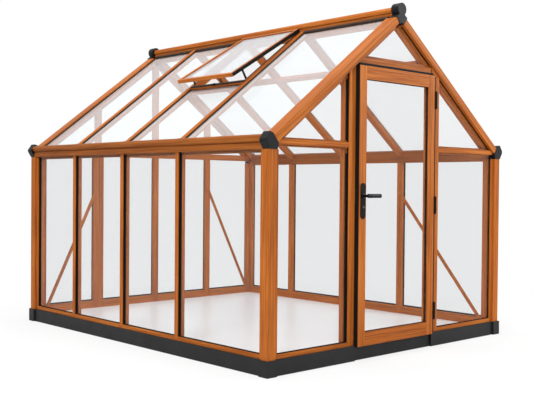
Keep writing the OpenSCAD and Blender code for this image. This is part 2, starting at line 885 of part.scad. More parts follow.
module front_panes() color(clear) placed() front_wall() {
    wall_pane(-a + arm_web + pane_gap, latch_face0 + rebate_w - pane_gap, pane_foot_z, rail_pane_z);
    wall_pane(hinge_face1 - rebate_w + pane_gap, a - arm_web - pane_gap, pane_foot_z, rail_pane_z);
}

// Part of the gable between x0 and x1, above z0 and below the rafter plane at depth v
module gable_part(x0, x1, z0, v, v0, v1) {
    intersection() {
        along_y(v0, v1) gable_outline(v, z0);
        translate([x0, v0 - 1, z0]) cube([x1 - x0, v1 - v0 + 2, ridge_z]);
    }
}

gable_pane_z = eave_rail_z + web_w / 2 + pane_gap;
gable_pane_v = rafter_h - rafter_lip_t + pane_gap;
gable_side_gap = 12;
gable_side_x = a - conn_reach - gable_side_gap;

function gable_bays_rear() = [
    [-gable_side_x, -rear_mullion_x, gable_pane_z], [-rear_mullion_x, 0, gable_pane_z],
    [0, rear_mullion_x, gable_pane_z], [rear_mullion_x, gable_side_x, gable_pane_z]
];

module gable_pane(x0, x1, z0) {
    gable_part(x0, x1, z0, gable_pane_v, glaze_in + pane_v, glaze_in + pane_v + sheet_t);
}

module gable_panes() color(clear) placed() {
    rear_wall() for (g = gable_bays_rear())
        gable_pane(g[0] + web_w / 2 + pane_gap, g[1] - web_w / 2 - pane_gap, g[2]);
    front_wall() {
        gable_pane(-gable_side_x, latch_face0 + rebate_w - pane_gap, gable_pane_z);
        gable_pane(latch_stop + pane_gap, hinge_stop - pane_gap, lintel_z1 - rebate_w + pane_gap);
        gable_pane(hinge_face1 - rebate_w + pane_gap, gable_side_x, gable_pane_z);
    }
}

roof_pane_top_s = slope_s(neck_w / 2 + 1, flange_v);
pane_end_gap = 4;
roof_pane_end_s = (a - bar_foot_x - pane_end_gap) / slope_cos;
roof_webs = concat([[-b, rafter_web]], [for (y = bar_ys) [y, web_w / 2]], [[b, rafter_web]]);

module roof_pane(i, s0, s1) {
    y0 = roof_webs[i][0] + roof_webs[i][1] + pane_gap;
    y1 = roof_webs[i + 1][0] - roof_webs[i + 1][1] - pane_gap;
    translate([s0, y0, -pane_v - sheet_t]) cube([s1 - s0, y1 - y0, sheet_t]);
}

sill_w = 34;

module roof_panes_left() color(clear) placed() left_slope() {
    for (i = [0, 2, 3]) roof_pane(i, roof_pane_top_s, roof_pane_end_s);
    roof_pane(1, sill_s + sill_w / 2 + web_w / 2 + pane_gap, roof_pane_end_s);
}

module roof_panes_right() color(clear) placed() right_slope()
    for (i = [0 : 3]) roof_pane(i, roof_pane_top_s, roof_pane_end_s);

// Rubber ring between the caps and a pane, from the outer face of the pane
seal_edge = 1.5;

module wall_seal(x0, x1, z0, z1, c0, c1, d0, d1) {
    difference() {
        translate([x0, glaze_in + cap_t, z0]) cube([x1 - x0, seal_t, z1 - z0]);
        translate([c0, glaze_in + cap_t - 1, d0]) cube([c1 - c0, seal_t + 2, d1 - d0]);
    }
}

function inner_edges(m0, m1) = [
    m0[0] + m0[1][0] - fit - seal_edge, m1[0] - m1[1][0] + fit + seal_edge
];

module bay_seal(m0, m1, z1, d1) {
    e = inner_edges(m0, m1);
    wall_seal(
        m0[0] + m0[1][2] + fit, m1[0] - m1[1][2] - fit, base_h + bottom_pocket_z + fit, z1,
        e[0], e[1], base_h + bottom_cap_h - seal_edge, d1
    );
}

module wall_seals() color(rubber) placed() {
    beam_z = eave_h + beam_pocket_h - fit;
    for (i = [0 : 3]) {
        left_wall() bay_seal(side_marks[i], side_marks[i + 1], beam_z, eave_h + seal_edge);
        right_wall() bay_seal(side_marks[i], side_marks[i + 1], beam_z, eave_h + seal_edge);
    }
    rail_z = eave_rail_z - web_w / 2 - fit;
    rail_edge = eave_rail_z - cap_w / 2 + seal_edge;
    rear_wall() for (i = [0, 2, 3, 4]) bay_seal(rear_marks[i], rear_marks[i + 1], rail_z, rail_edge);
    door_post = [fit, 0, -rebate_w];
    front_wall() {
        bay_seal([-a, corner_gap], [latch_face0, door_post], rail_z, rail_edge);
        bay_seal([hinge_face1, door_post], [a, corner_gap], rail_z, rail_edge);
    }
}

// Rubber of a gable bay: webs at x0 and x1, cap edges at c0 and c1
module gable_seal(x0, x1, z0, c0, c1, d0) {
    difference() {
        gable_part(x0, x1, z0, rafter_h - rafter_lip_t + fit, glaze_in + cap_t, glaze_in + pane_v);
        translate([0, glaze_in + cap_t - 1, 0]) intersection() {
            along_y(0, seal_t + 2) gable_outline(rafter_h - seal_edge, d0);
            translate([c0, -1, d0]) cube([c1 - c0, seal_t + 4, ridge_z]);
        }
    }
}

module gable_seals() color(rubber) placed() {
    z0 = eave_rail_z + web_w / 2 + fit;
    d0 = eave_rail_z + cap_w / 2 - seal_edge;
    w = web_w / 2 + fit;
    c = cap_w / 2 - seal_edge;
    rear_wall() for (g = gable_bays_rear())
        gable_seal(
            g[0] + (abs(g[0]) == gable_side_x ? 0 : w), g[1] - (abs(g[1]) == gable_side_x ? 0 : w), z0,
            g[0] + (abs(g[0]) == gable_side_x ? -1 : c), g[1] - (abs(g[1]) == gable_side_x ? -1 : c), d0
        );
    front_wall() {
        gable_seal(-gable_side_x, latch_face0 + rebate_w - fit, z0, -a, latch_face0 + seal_edge, d0);
        gable_seal(hinge_face1 - rebate_w + fit, gable_side_x, z0, hinge_face1 - seal_edge, a, d0);
        gable_seal(
            latch_stop + fit, hinge_stop - fit, lintel_z1 - rebate_w + fit, -a, a, lintel_z1 - seal_edge
        );
    }
}

// Strips of rubber along both edges of each roof pane, under the caps
module roof_seal(i, s0, s1) {
    y0 = roof_webs[i][0] + roof_webs[i][1] + fit;
    y1 = roof_webs[i + 1][0] - roof_webs[i + 1][1] - fit;
    e0 = roof_marks[i][0] + roof_marks[i][1] - seal_edge;
    e1 = roof_marks[i + 1][0] - roof_marks[i + 1][1] + seal_edge;
    translate([s0, y0, -pane_v]) cube([s1 - s0, e0 - y0, seal_t]);
    translate([s0, e1, -pane_v]) cube([s1 - s0, y1 - e1, seal_t]);
}

module roof_seals() color(rubber) placed() {
    top_s = slope_s(neck_w / 2, pane_v) + ridge_seal_w + 4;
    right_slope() for (i = [0 : 3]) roof_seal(i, top_s, roof_pane_end_s - pane_end_gap);
    left_slope() {
        for (i = [0, 2, 3]) roof_seal(i, top_s, roof_pane_end_s - pane_end_gap);
        roof_seal(1, sill_s + sill_w / 2 + web_w / 2 + fit, roof_pane_end_s - pane_end_gap);
        vent_seat();
    }
}

seat_w = 12;
seat_t = 3;

// Strips on the sill and on the curbs, on which the vent shuts
module vent_seat() {
    translate([sill_s, vent_y0 + cap_w / 2 + fit, fit])
        cube([seat_w, vent_y1 - vent_y0 - cap_w - 2 * fit, seat_t]);
    for (y = [vent_y0 + cap_w / 2 + 2, vent_y1 - curb_w + 2])
        translate([header_s, y, -curb_top_v + fit])
            cube([sill_s - header_s - fit, curb_w - cap_w / 2 - 4, vent_gap - 2 * fit]);
}

// Flat braces on the inner faces of the flanges, from a bottom rail up to the next mullion
brace_w = 30;
brace_t = 4;
brace_end_gap = 6;
brace_top_drop = 260;
brace_top_z = eave_h - brace_top_drop;

module brace(x0, x1) {
    z0 = base_h + brace_end_gap;
    run = x1 - x0;
    rise = brace_top_z - z0;
    angle = atan2(rise, run);
    translate([x0, post_depth + fit, z0]) rotate([0, -angle, 0])
        translate([0, 0, -brace_w / 2]) cube([sqrt(run * run + rise * rise), brace_t, brace_w]);
}

module wind_braces() color(wood) placed() {
    rear_wall() {
        brace(-a + arm_flange_end + brace_end_gap, -rear_mullion_x - pair_half);
        mirror([1, 0, 0]) brace(-a + arm_flange_end + brace_end_gap, -rear_mullion_x);
    }
    right_wall() brace(-b + arm_flange_end + brace_end_gap, bar_ys[0]);
}

// Roof vent. Its bay lies between the first and second roof bar on the left slope

vent_y0 = bar_ys[0];
vent_y1 = bar_ys[1];
curb_w = 34;
curb_top_v = -2;
hinge_s = 34;
hinge_v = -13;
rod_r = 4;
knuckle_r = 8;
vent_gap = 1.5;
vent_frame_v = curb_top_v - vent_gap;
vent_side_in = 15;
vent_top_gap = 3;
vent_top_s = hinge_s + knuckle_r + vent_top_gap;
vent_end_s = sill_s + vent_over;
header_lap = 8;
header_s = ridge_wing_s - header_lap;
header_foot_s = bar_top_s + 2;
header_top_s = hinge_s - 6;

module vent_curb() color(wood) placed() left_slope() {
    for (m = [0, 1])
        translate([0, m == 0 ? vent_y0 : vent_y1, 0]) mirror([0, m, 0])
            translate([header_s, web_w / 2 + fit, -flange_v]) difference() {
                cube([sill_s - header_s - fit, curb_w - web_w / 2, flange_v - curb_top_v]);
                translate([-1, -1, flange_v - cap_t - fit])
                    cube([sill_s, cap_w / 2 - web_w / 2 + 1 + fit, cap_t + fit + 10]);
            }
    header_w = vent_y1 - vent_y0 - cap_w - 2 * fit;
    translate([header_foot_s, vent_y0 + cap_w / 2 + fit, -flange_v])
        cube([header_s - header_foot_s - fit, header_w, flange_v - curb_top_v]);
    translate([header_top_s, vent_y0 + cap_w / 2 + fit, -cap_t])
        cube([header_s - hinge_s, header_w, cap_t - curb_top_v]);
}

module vent_sill() color(wood) placed() left_slope() {
    y0 = vent_y0 + cap_w / 2 + fit;
    y1 = vent_y1 - cap_w / 2 - fit;
    f0 = vent_y0 + flange_w / 2 + fit;
    f1 = vent_y1 - flange_w / 2 - fit;
    mid = sill_s + sill_w / 2;
    translate([sill_s, y0, -cap_t]) cube([sill_w, y1 - y0, cap_t]);
    translate([sill_s, y0, -flange_v]) cube([sill_w / 2 + web_w / 2, y1 - y0, flange_v]);
    translate([mid - flange_w / 2, f0, -bar_d]) cube([flange_w, f1 - f0, flange_t]);
}

ear_w = 14;
ear_leg_w = 6;
knuckle_gap = 1;
tongue_up = 5;
tongue_t = 8;
vent_mid_y = (vent_y0 + vent_y1) / 2;
ear_span = vent_y1 - vent_y0 - 2 * (vent_side_in + 30);
ear_ys = [vent_mid_y - ear_span / 2, vent_mid_y, vent_mid_y + ear_span / 2];

module vent_hinge_rod() color(charcoal) placed() left_slope() {
    for (y = ear_ys)
        translate([0, y - ear_w / 2, 0]) {
            translate([hinge_s, 0, -hinge_v]) rotate([-90, 0, 0]) cylinder(r = knuckle_r, h = ear_w);
            translate([hinge_s - ear_leg_w / 3, 0, -curb_top_v + fit])
                cube([ear_leg_w, ear_w, -hinge_v + curb_top_v - fit]);
        }
    translate([hinge_s, ear_ys[0] - ear_w / 2, -hinge_v]) rotate([-90, 0, 0])
        cylinder(r = rod_r, h = ear_span + ear_w);
}

// Everything on the vent is drawn closed and then turned open about its hinge
module vent_turned() {
    translate([hinge_s, 0, -hinge_v]) rotate([0, -vent_open, 0]) translate([-hinge_s, 0, hinge_v])
        children();
}

vent_fy0 = vent_y0 + vent_side_in;
vent_fy1 = vent_y1 - vent_side_in;
vent_under = -vent_frame_v;

vent_rebate = 10;
vent_lip_t = 9;

// Room of a sheet that reaches the given depth into the bars round it
module vent_sheet(depth, top, t) {
    w = vent_bar_w - depth;
    translate([vent_top_s + w, vent_fy0 + w, vent_under + vent_bar_t - top - t])
        cube([vent_end_s - vent_top_s - 2 * w, vent_fy1 - vent_fy0 - 2 * w, t]);
}

module vent_groove() {
    vent_sheet(vent_rebate, vent_lip_t, pane_t + fit);
}

module vent_cross_bar(s0) {
    translate([s0, vent_fy0 + vent_bar_w + fit, vent_under])
        cube([vent_bar_w, vent_fy1 - vent_fy0 - 2 * vent_bar_w - 2 * fit, vent_bar_t]);
}

module vent_knuckles() {
    l = ear_span / 2 - ear_w - 2 * knuckle_gap;
    for (i = [0, 1]) {
        translate([hinge_s, ear_ys[i] + ear_w / 2 + knuckle_gap, -hinge_v]) rotate([-90, 0, 0])
            cylinder(r = knuckle_r, h = l);
        translate([hinge_s, ear_ys[i] + ear_w / 2 + knuckle_gap, vent_under + tongue_up])
            cube([vent_top_s - hinge_s + 1, l, tongue_t]);
    }
}

module vent_frame() color(wood) placed() left_slope() vent_turned() difference() {
    union() {
        for (y = [vent_fy0, vent_fy1 - vent_bar_w])
            translate([vent_top_s, y, vent_under])
                cube([vent_end_s - vent_top_s, vent_bar_w, vent_bar_t]);
        vent_cross_bar(vent_top_s);
        vent_cross_bar(vent_end_s - vent_bar_w);
        vent_knuckles();
    }
    translate([hinge_s, vent_fy0, -hinge_v]) rotate([-90, 0, 0])
        cylinder(r = rod_r + 0.05, h = vent_fy1 - vent_fy0);
    vent_groove();
}

module vent_pane() color(clear) placed() left_slope() vent_turned()
    vent_sheet(vent_rebate - 1, vent_lip_t + fit / 2, pane_t);

edge_seal_t = 3;
edge_seal_end = 6;
edge_seal_lip = 2;

module vent_edge_seals() color(rubber) placed() left_slope() vent_turned() {
    for (y = [vent_fy0 - edge_seal_t, vent_fy1])
        translate([vent_top_s, y, vent_under])
            cube([vent_end_s - vent_top_s - edge_seal_end, edge_seal_t, vent_bar_t - edge_seal_lip]);
}

// Stay: an arm on a pivot under the vent, which hangs inside the sill beside a peg
stay_w = 12;
stay_t = 5;
stay_l = 140;
stay_pin_r = 3;
stay_hole_step = 24;
blade_t = 6;
blade_h = 8;
blade_lap = 7;
stay_gap = 0.3;
pivot_back = 42;
stay_pivot_s = sill_s - pivot_back;
stay_pivot_n = vent_under + blade_h / 2;
stay_y = vent_mid_y + blade_t / 2 + stay_gap;
pin_head_t = 2;

module vent_stay_bracket() color(charcoal) placed() left_slope() vent_turned() {
    translate([stay_pivot_s - blade_lap, vent_mid_y - blade_t / 2, stay_pivot_n - blade_h / 2])
        cube([vent_end_s - vent_bar_w - fit - stay_pivot_s + blade_lap, blade_t, blade_h]);
    translate([stay_pivot_s, vent_mid_y, stay_pivot_n]) rotate([-90, 0, 0]) {
        head_y = blade_t / 2 + stay_gap + stay_t + stay_gap;
        cylinder(r = stay_pin_r, h = head_y + 0.1);
        translate([0, 0, head_y]) cylinder(r = stay_pin_r + 2, h = pin_head_t);
    }
    for (y = [vent_y0 + curb_w + guide_gap, vent_y1 - curb_w - guide_gap - guide_t])
        translate([sill_s - guide_back, y, vent_under - fit - guide_h]) cube([guide_w, guide_t, guide_h]);
}

// Plates that hang from the vent's sides and keep it in line with its opening
guide_back = 34;
guide_gap = 1.5;
guide_w = 18;
guide_t = 3;
guide_h = 70;

module vent_stay() color(charcoal) placed() left_slope() vent_turned()
    translate([stay_pivot_s, stay_y, stay_pivot_n]) rotate([-90, 0, 0]) difference() {
        linear_extrude(height = stay_t) {
            circle(r = stay_w / 2);
            translate([-stay_w / 2, 0]) square([stay_w, stay_l - stay_w]);
            translate([0, stay_l - stay_w]) circle(r = stay_w / 2);
        }
        translate([0, 0, -1]) cylinder(r = stay_pin_r + 0.05, h = stay_t + 2);
        for (i = [1 : 5])
            translate([0, i * stay_hole_step, -1]) cylinder(r = stay_pin_r + 0.4, h = stay_t + 2);
    }

// The peg stands on a block on the sill's inner face, and a knob on the sill's top
peg_back = 28;
peg_s = sill_s - peg_back;
peg_n = -34;
peg_gap = 0.4;
block_gap = 8;
block_t = 10;
block_h = 16;
block_lap = 6;
knob_r = 9;
knob_h = 12;
knob_side = 24;

module vent_stay_peg() color(charcoal) placed() left_slope() {
    flange_s = sill_s + sill_w / 2 - flange_w / 2;
    translate([peg_s - block_lap, stay_y + stay_t + block_gap, peg_n - block_h / 2])
        cube([flange_s - fit - peg_s + block_lap, block_t, block_h]);
    translate([peg_s, stay_y + stay_t + peg_gap, peg_n]) rotate([-90, 0, 0])
        cylinder(r = stay_pin_r, h = block_gap + 1);
    translate([sill_s + seat_w + knob_r + fit, vent_mid_y + knob_side, fit])
        cylinder(r = knob_r, h = knob_h);
}

// Door

module leaf() {
    translate([door_x0, door_face_v, door_z0]) children();
}

glass_edge = 12;
door_pane_v = 19;
spindle_r = 5;
cylinder_drop = 72;
plug_r = 8.5;
lever_x = 34;
bolt_travel = 12;
bolt_l = lever_x - spindle_r + bolt_out - bolt_travel - 1;
case_x = 2;
case_l = 46;
case_up = 40;
case_down = 104;
case_v0 = bolt_v - 6;
case_v1 = bolt_v + 5;
bolt_play = 0.3;
guide_l = bolt_l + bolt_travel - bolt_out;

module door_stiles() color(wood) placed() front_wall() leaf() difference() {
    union() {
        cube([stile_w, door_t, door_h]);
        translate([door_w - stile_w, 0, 0]) cube([stile_w, door_t, door_h]);
    }
    translate([stile_w - glass_edge, door_pane_v - fit, kick_rail_h - glass_edge])
        cube([door_w - 2 * stile_w + 2 * glass_edge, pane_t + 2 * fit,
            door_h - top_rail_h - kick_rail_h + 2 * glass_edge]);
    translate([lever_x, -1, lever_z - door_z0]) rotate([-90, 0, 0])
        cylinder(r = spindle_r + 1, h = door_t + 2);
    translate([lever_x, -1, lever_z - door_z0 - cylinder_drop]) rotate([-90, 0, 0])
        cylinder(r = plug_r, h = door_t + 2);
    translate([
        -1, bolt_v - door_face_v - bolt_w / 2 - bolt_play, lever_z - door_z0 - bolt_h / 2 - bolt_play
    ])
        cube([case_x + 2, bolt_w + 2 * bolt_play, bolt_h + 2 * bolt_play]);
    translate([case_x - fit, case_v0 - fit - door_face_v, lever_z - door_z0 - case_down - fit])
        cube([case_l + 2 * fit, case_v1 - case_v0 + 2 * fit, case_up + case_down + 2 * fit]);
}

// Lock case in its pocket in the stile, with the bolt's guide and the bores for spindle and cylinder
module lock_case() color(metal) placed() front_wall() translate([door_x0, 0, lever_z]) difference() {
    translate([case_x, case_v0, -case_down]) cube([case_l, case_v1 - case_v0, case_up + case_down]);
    translate([case_x - 1, bolt_v - bolt_w / 2 - bolt_play, -bolt_h / 2 - bolt_play])
        cube([guide_l + 1, bolt_w + 2 * bolt_play, bolt_h + 2 * bolt_play]);
    translate([lever_x, case_v0 - 1, 0]) rotate([-90, 0, 0])
        cylinder(r = spindle_r + 0.05, h = case_v1 - case_v0 + 2);
    translate([lever_x, case_v0 - 1, -cylinder_drop]) rotate([-90, 0, 0])
        cylinder(r = plug_r, h = case_v1 - case_v0 + 2);
}

module key_cylinder() color(metal) placed() front_wall()
    translate([door_x0 + lever_x, door_face_v - plate_t - 3, lever_z - cylinder_drop]) difference() {
        rotate([-90, 0, 0]) cylinder(r = plug_r - fit, h = door_t + 2 * plate_t + 6);
        translate([-1, -1, -4]) cube([2, 4, 8]);
    }

module door_rails() color(wood) placed() front_wall() leaf() difference() {
    union() {
        translate([stile_w + fit, 0, 0]) cube([door_w - 2 * stile_w - 2 * fit, door_t, kick_rail_h]);
        translate([stile_w + fit, 0, door_h - top_rail_h])
            cube([door_w - 2 * stile_w - 2 * fit, door_t, top_rail_h]);
    }
    translate([stile_w - glass_edge, door_pane_v - fit, kick_rail_h - glass_edge])
        cube([door_w, pane_t + 2 * fit, door_h - top_rail_h - kick_rail_h + 2 * glass_edge]);
}

module door_pane() color(clear) placed() front_wall() leaf()
    translate([stile_w - glass_edge + pane_gap, door_pane_v, kick_rail_h - glass_edge + pane_gap])
        cube([door_w - 2 * stile_w + 2 * glass_edge - 2 * pane_gap, pane_t,
            door_h - top_rail_h - kick_rail_h + 2 * glass_edge - 2 * pane_gap]);

top_seal_h = 7;

module door_seals() color(rubber) placed() front_wall() leaf() {
    translate([-leaf_seal_t, 2, 0]) difference() {
        cube([leaf_seal_t, door_t - 8, door_h]);
        translate([-1, bolt_v - door_face_v - bolt_w / 2 - 2.3, lever_z - door_z0 - bolt_h / 2 - 1])
            cube([leaf_seal_t + 2, bolt_w + 2, bolt_h + 2]);
    }
    translate([0, 2, door_h]) cube([door_w, door_t - 8, top_seal_h]);
}

// Hinges, whose barrels stand in front of the gap between leaf and post
hinge_up = 163;
hinge_down = 170;
hinge_zs = [door_z0 + hinge_up, (door_z0 + door_z1) / 2, door_z1 - hinge_down];
hinge_l = 126;
pin_r = 5;
barrel_r = 10;
barrel_l = (hinge_l - 2 * barrel_r) / 3;
barrel_gap = 0.6;
hinge_x = door_x1 + barrel_r + barrel_gap;
hinge_y = door_face_v - 3;
hinge_plate_t = 3;
hinge_plate_w = 26;
door_plate_d = 24;
arm_t = 9;

module hinge_post_leaves() color(charcoal) placed() front_wall() {
    face_v = glaze_in - fit;
    for (z = hinge_zs) {
        translate([hinge_x, hinge_y, z - hinge_l / 2 + barrel_r]) cylinder(r = pin_r, h = 3 * barrel_l);
        for (end = [-1, 1]) translate([hinge_x, hinge_y, z]) mirror([0, 0, end < 0 ? 1 : 0])
            translate([0, 0, barrel_l / 2]) {
                cylinder(r = barrel_r, h = barrel_l);
                translate([0, 0, barrel_l]) sphere(r = barrel_r);
                translate([-2, 0, 0]) cube([arm_t, face_v - hinge_plate_t - hinge_y + 1, barrel_l]);
            }
        translate([hinge_face0 + 1, face_v - hinge_plate_t, z - 1.5 * barrel_l])
            cube([hinge_plate_w, hinge_plate_t, 3 * barrel_l]);
    }
}

module hinge_door_leaves() color(charcoal) placed() front_wall() {
    l = barrel_l - barrel_gap;
    for (z = hinge_zs)
        translate([hinge_x, hinge_y, z - l / 2]) difference() {
            union() {
                cylinder(r = barrel_r, h = l);
                translate([-barrel_r - barrel_gap + 0.05, 0, 0]) cube([hinge_plate_t, door_plate_d, l]);
            }
            translate([0, 0, -1]) cylinder(r = pin_r + 0.05, h = l + 2);
        }
}

// Handle set
plate_w = 44;
plate_h = 230;
plate_t = 7;
plate_up = 82;

module plate_outline() {
    translate([0, plate_up - plate_w / 2]) circle(d = plate_w);
    translate([0, plate_up - plate_h + plate_w / 2]) circle(d = plate_w);
    translate([-plate_w / 2, plate_up - plate_h + plate_w / 2]) square([plate_w, plate_h - plate_w]);
}

module handle_plates() color(charcoal) placed() front_wall()
    translate([door_x0 + lever_x, 0, lever_z]) difference() {
        for (v = [door_face_v - plate_t, door_back_v])
            along_y(v, v + plate_t) plate_outline();
        translate([0, door_face_v - plate_t - 1, 0]) rotate([-90, 0, 0])
            cylinder(r = collar_r + 0.05, h = door_t + 2 * plate_t + 2);
        translate([0, door_face_v - plate_t - 1, -cylinder_drop]) rotate([-90, 0, 0])
            cylinder(r = plug_r, h = door_t + 2 * plate_t + 2);
    }

collar_r = spindle_r + 3;

module lever_grip() {
    rotate([-90, 0, 0]) cylinder(r = collar_r, h = lever_standoff);
    rotate([0, 90, 0]) cylinder(r = lever_r, h = lever_l - lever_r);
    sphere(r = lever_r);
    translate([lever_l - lever_r, 0, 0]) sphere(r = lever_r);
}

module door_levers() color(charcoal) placed() front_wall() translate([door_x0 + lever_x, 0, lever_z]) {
    translate([0, door_face_v - lever_standoff, 0]) lever_grip();
    translate([0, door_back_v + lever_standoff, 0]) mirror([0, 1, 0]) lever_grip();
    translate([0, door_face_v - 1, 0]) rotate([-90, 0, 0]) cylinder(r = spindle_r, h = door_t + 2);
}

module latch_bolt() color(metal) placed() front_wall()
    translate([door_x0 - bolt_out, bolt_v - bolt_w / 2, lever_z - bolt_h / 2])
        cube([bolt_l, bolt_w, bolt_h]);

base_rails();
door_threshold();
base_corner_covers();
floor_bearers();
floor_deck();
corner_posts();
side_mullions();
rear_mullions();
side_bottom_rails();
rear_bottom_rails();
front_bottom_rails();
latch_post();
hinge_post();
front_eave_rails();
rear_eave_rail();
door_lintel();
eave_beam_left();
eave_beam_right();
ridge_beam();
ridge_seals();
gable_rafters_front();
gable_rafters_rear();
roof_bars_left();
roof_bars_right();
roof_purlin();
eave_connectors();
ridge_connectors();
bar_foot_clips();
side_panes_left();
side_panes_right();
rear_panes();
front_panes();
gable_panes();
roof_panes_left();
roof_panes_right();
wall_seals();
gable_seals();
roof_seals();
wind_braces();
vent_curb();
vent_sill();
vent_hinge_rod();
vent_frame();
vent_pane();
vent_edge_seals();
vent_stay_bracket();
vent_stay();
vent_stay_peg();
door_stiles();
door_rails();
door_pane();
door_seals();
hinge_post_leaves();
hinge_door_leaves();
lock_case();
key_cylinder();
handle_plates();
door_levers();
latch_bolt();
strike_plate();
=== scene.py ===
# Looks, light and camera for a wooden garden greenhouse with a hinged door and a roof vent
from math import cos, pi, radians, sin

import bmesh
import bpy
from mathutils import Matrix, Vector


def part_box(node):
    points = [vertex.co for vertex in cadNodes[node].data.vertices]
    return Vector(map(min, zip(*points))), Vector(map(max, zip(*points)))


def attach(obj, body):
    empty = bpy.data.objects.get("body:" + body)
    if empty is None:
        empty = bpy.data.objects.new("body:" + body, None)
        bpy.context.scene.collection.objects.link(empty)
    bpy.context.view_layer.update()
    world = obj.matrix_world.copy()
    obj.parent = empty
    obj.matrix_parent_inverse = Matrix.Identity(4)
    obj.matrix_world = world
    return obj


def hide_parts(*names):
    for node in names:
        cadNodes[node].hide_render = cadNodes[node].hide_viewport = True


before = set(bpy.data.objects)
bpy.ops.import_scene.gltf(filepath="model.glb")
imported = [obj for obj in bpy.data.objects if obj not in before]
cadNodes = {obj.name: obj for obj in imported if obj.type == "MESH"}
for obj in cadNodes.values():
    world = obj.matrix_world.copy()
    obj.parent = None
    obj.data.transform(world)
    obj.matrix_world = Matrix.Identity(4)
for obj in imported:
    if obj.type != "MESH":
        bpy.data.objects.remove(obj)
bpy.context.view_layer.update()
scene = bpy.context.scene
print("frame loaded:", len(cadNodes), "nodes")

# Camera, first because it never changes
cameraSet = {
    "place": (-4.6714, -5.1371, 1.1276),
    "turn": 0.74557,  # from +Y towards +X, radians
    "tilt": -0.01759,
    "roll": 0.00812,
    "lens": 59.48,  # mm, as is the sensor
    "sensor": 36,
    "clipEnd": 60,
}
turn, tilt, roll = cameraSet["turn"], cameraSet["tilt"], cameraSet["roll"]
ahead = Vector((sin(turn) * cos(tilt), cos(turn) * cos(tilt), sin(tilt)))
level = Vector((cos(turn), -sin(turn), 0))
above = level.cross(ahead)
right = level * cos(roll) + above * sin(roll)
up = above * cos(roll) - level * sin(roll)
cameraData = bpy.data.cameras.new("viewCamera")
cameraData.lens = cameraSet["lens"]
cameraData.sensor_width = cameraSet["sensor"]
cameraData.clip_end = cameraSet["clipEnd"]
viewCamera = bpy.data.objects.new("viewCamera", cameraData)
scene.collection.objects.link(viewCamera)
turned = Matrix((right, up, -ahead)).transposed().to_4x4()
viewCamera.matrix_world = Matrix.Translation(cameraSet["place"]) @ turned
scene.camera = viewCamera
print("camera placed")


def acrossFrom(axis):
    # A direction at right angles to a unit axis
    other = Vector((0, 0, 1)) if abs(axis.z) < 0.9 else Vector((1, 0, 0))
    return axis.cross(other).normalized()


# Small helpers for node materials
def startMaterial(name):
    material = bpy.data.materials.new(name)
    material.use_nodes = True
    tree = material.node_tree
    tree.nodes.clear()
    return material, tree, addNode(tree, "OutputMaterial")


def addNode(tree, kind, **settings):
    node = tree.nodes.new("ShaderNode" + kind)
    for key, value in settings.items():
        setattr(node, key, value)
    return node


def plug(tree, source, target):
    if isinstance(source, bpy.types.NodeSocket):
        tree.links.new(source, target)
    else:
        target.default_value = source


def calc(tree, operation, *values):
    node = addNode(tree, "Math", operation=operation)
    for i, value in enumerate(values):
        plug(tree, value, node.inputs[i])
    return node.outputs[0]


def remap(tree, value, low, high, newLow, newHigh):
    node = addNode(tree, "MapRange", clamp=True)
    for i, entry in enumerate((value, low, high, newLow, newHigh)):
        plug(tree, entry, node.inputs[i])
    return node.outputs[0]


def noise(tree, vector, scale, detail, roughness):
    node = addNode(tree, "TexNoise")
    plug(tree, vector, node.inputs["Vector"])
    node.inputs["Scale"].default_value = scale
    node.inputs["Detail"].default_value = detail
    node.inputs["Roughness"].default_value = roughness
    return node.outputs["Fac"]


def stretch(tree, vector, scale):
    node = addNode(tree, "VectorMath", operation="MULTIPLY")
    plug(tree, vector, node.inputs[0])
    node.inputs[1].default_value = scale
    return node.outputs[0]


def colourRamp(tree, value, stops):
    ramp = addNode(tree, "ValToRGB")
    plug(tree, value, ramp.inputs[0])
    steps = ramp.color_ramp.elements
    while len(steps) < len(stops):
        steps.new(0.5)
    for step, (place, colour) in zip(steps, stops):
        step.position = place
        step.color = (*colour, 1)
    return ramp.outputs[0]


def bumped(tree, height, strength, distance):
    node = addNode(tree, "Bump")
    node.inputs["Strength"].default_value = strength
    node.inputs["Distance"].default_value = distance
    plug(tree, height, node.inputs["Height"])
    return node.outputs[0]


def mixShaders(tree, share, first, second):
    mixer = addNode(tree, "MixShader")
    for i, source in enumerate((share, first, second)):
        plug(tree, source, mixer.inputs[i])
    return mixer.outputs[0]


def objectPlace(tree):
    return addNode(tree, "TexCoord").outputs["Object"]


def objectAxes(tree):
    # The x, y and z sockets of a point on the piece
    parts = addNode(tree, "SeparateXYZ")
    plug(tree, objectPlace(tree), parts.inputs[0])
    return parts.outputs


# Stained timber: layers of noise along the grain, mixed and coloured with three stain tones
woodLook = {
    "dark": (0.23, 0.054, 0.006),
    "middle": (0.43, 0.113, 0.0115),
    "light": (0.62, 0.198, 0.031),
    "tonePlaces": (0.365, 0.50, 0.635),
    "eavesPaintedShade": 0.66,  # painted shade: the eave beams' wood is darkened to stand in for the shade on them
    # Each layer: noise scale per metre along and across the grain, and its share of the mix
    "fibres": {"along": 7, "across": 480, "detail": 3, "roughness": 0.6, "share": 0.26},
    "streaks": {"along": 2.2, "across": 195, "detail": 3, "roughness": 0.65, "share": 0.50},
    "rings": {"along": 0.6, "across": 22, "detail": 2, "roughness": 0.45, "share": 0.06},
    "patches": {"along": 0.7, "across": 4, "detail": 2, "roughness": 0.5, "share": 0.18},
    "ringCount": 6,
    "glossRange": (0.3, 0.7),  # fibre noise from the dull to the smooth end
    "roughLow": 0.42,
    "roughHigh": 0.60,
    "shine": 0.14,
    "bumpStrength": 0.3,
    "bumpDepth": 0.0004,
}
slopeAngle = radians(37)
downSlope = (cos(slopeAngle), 0, -sin(slopeAngle))


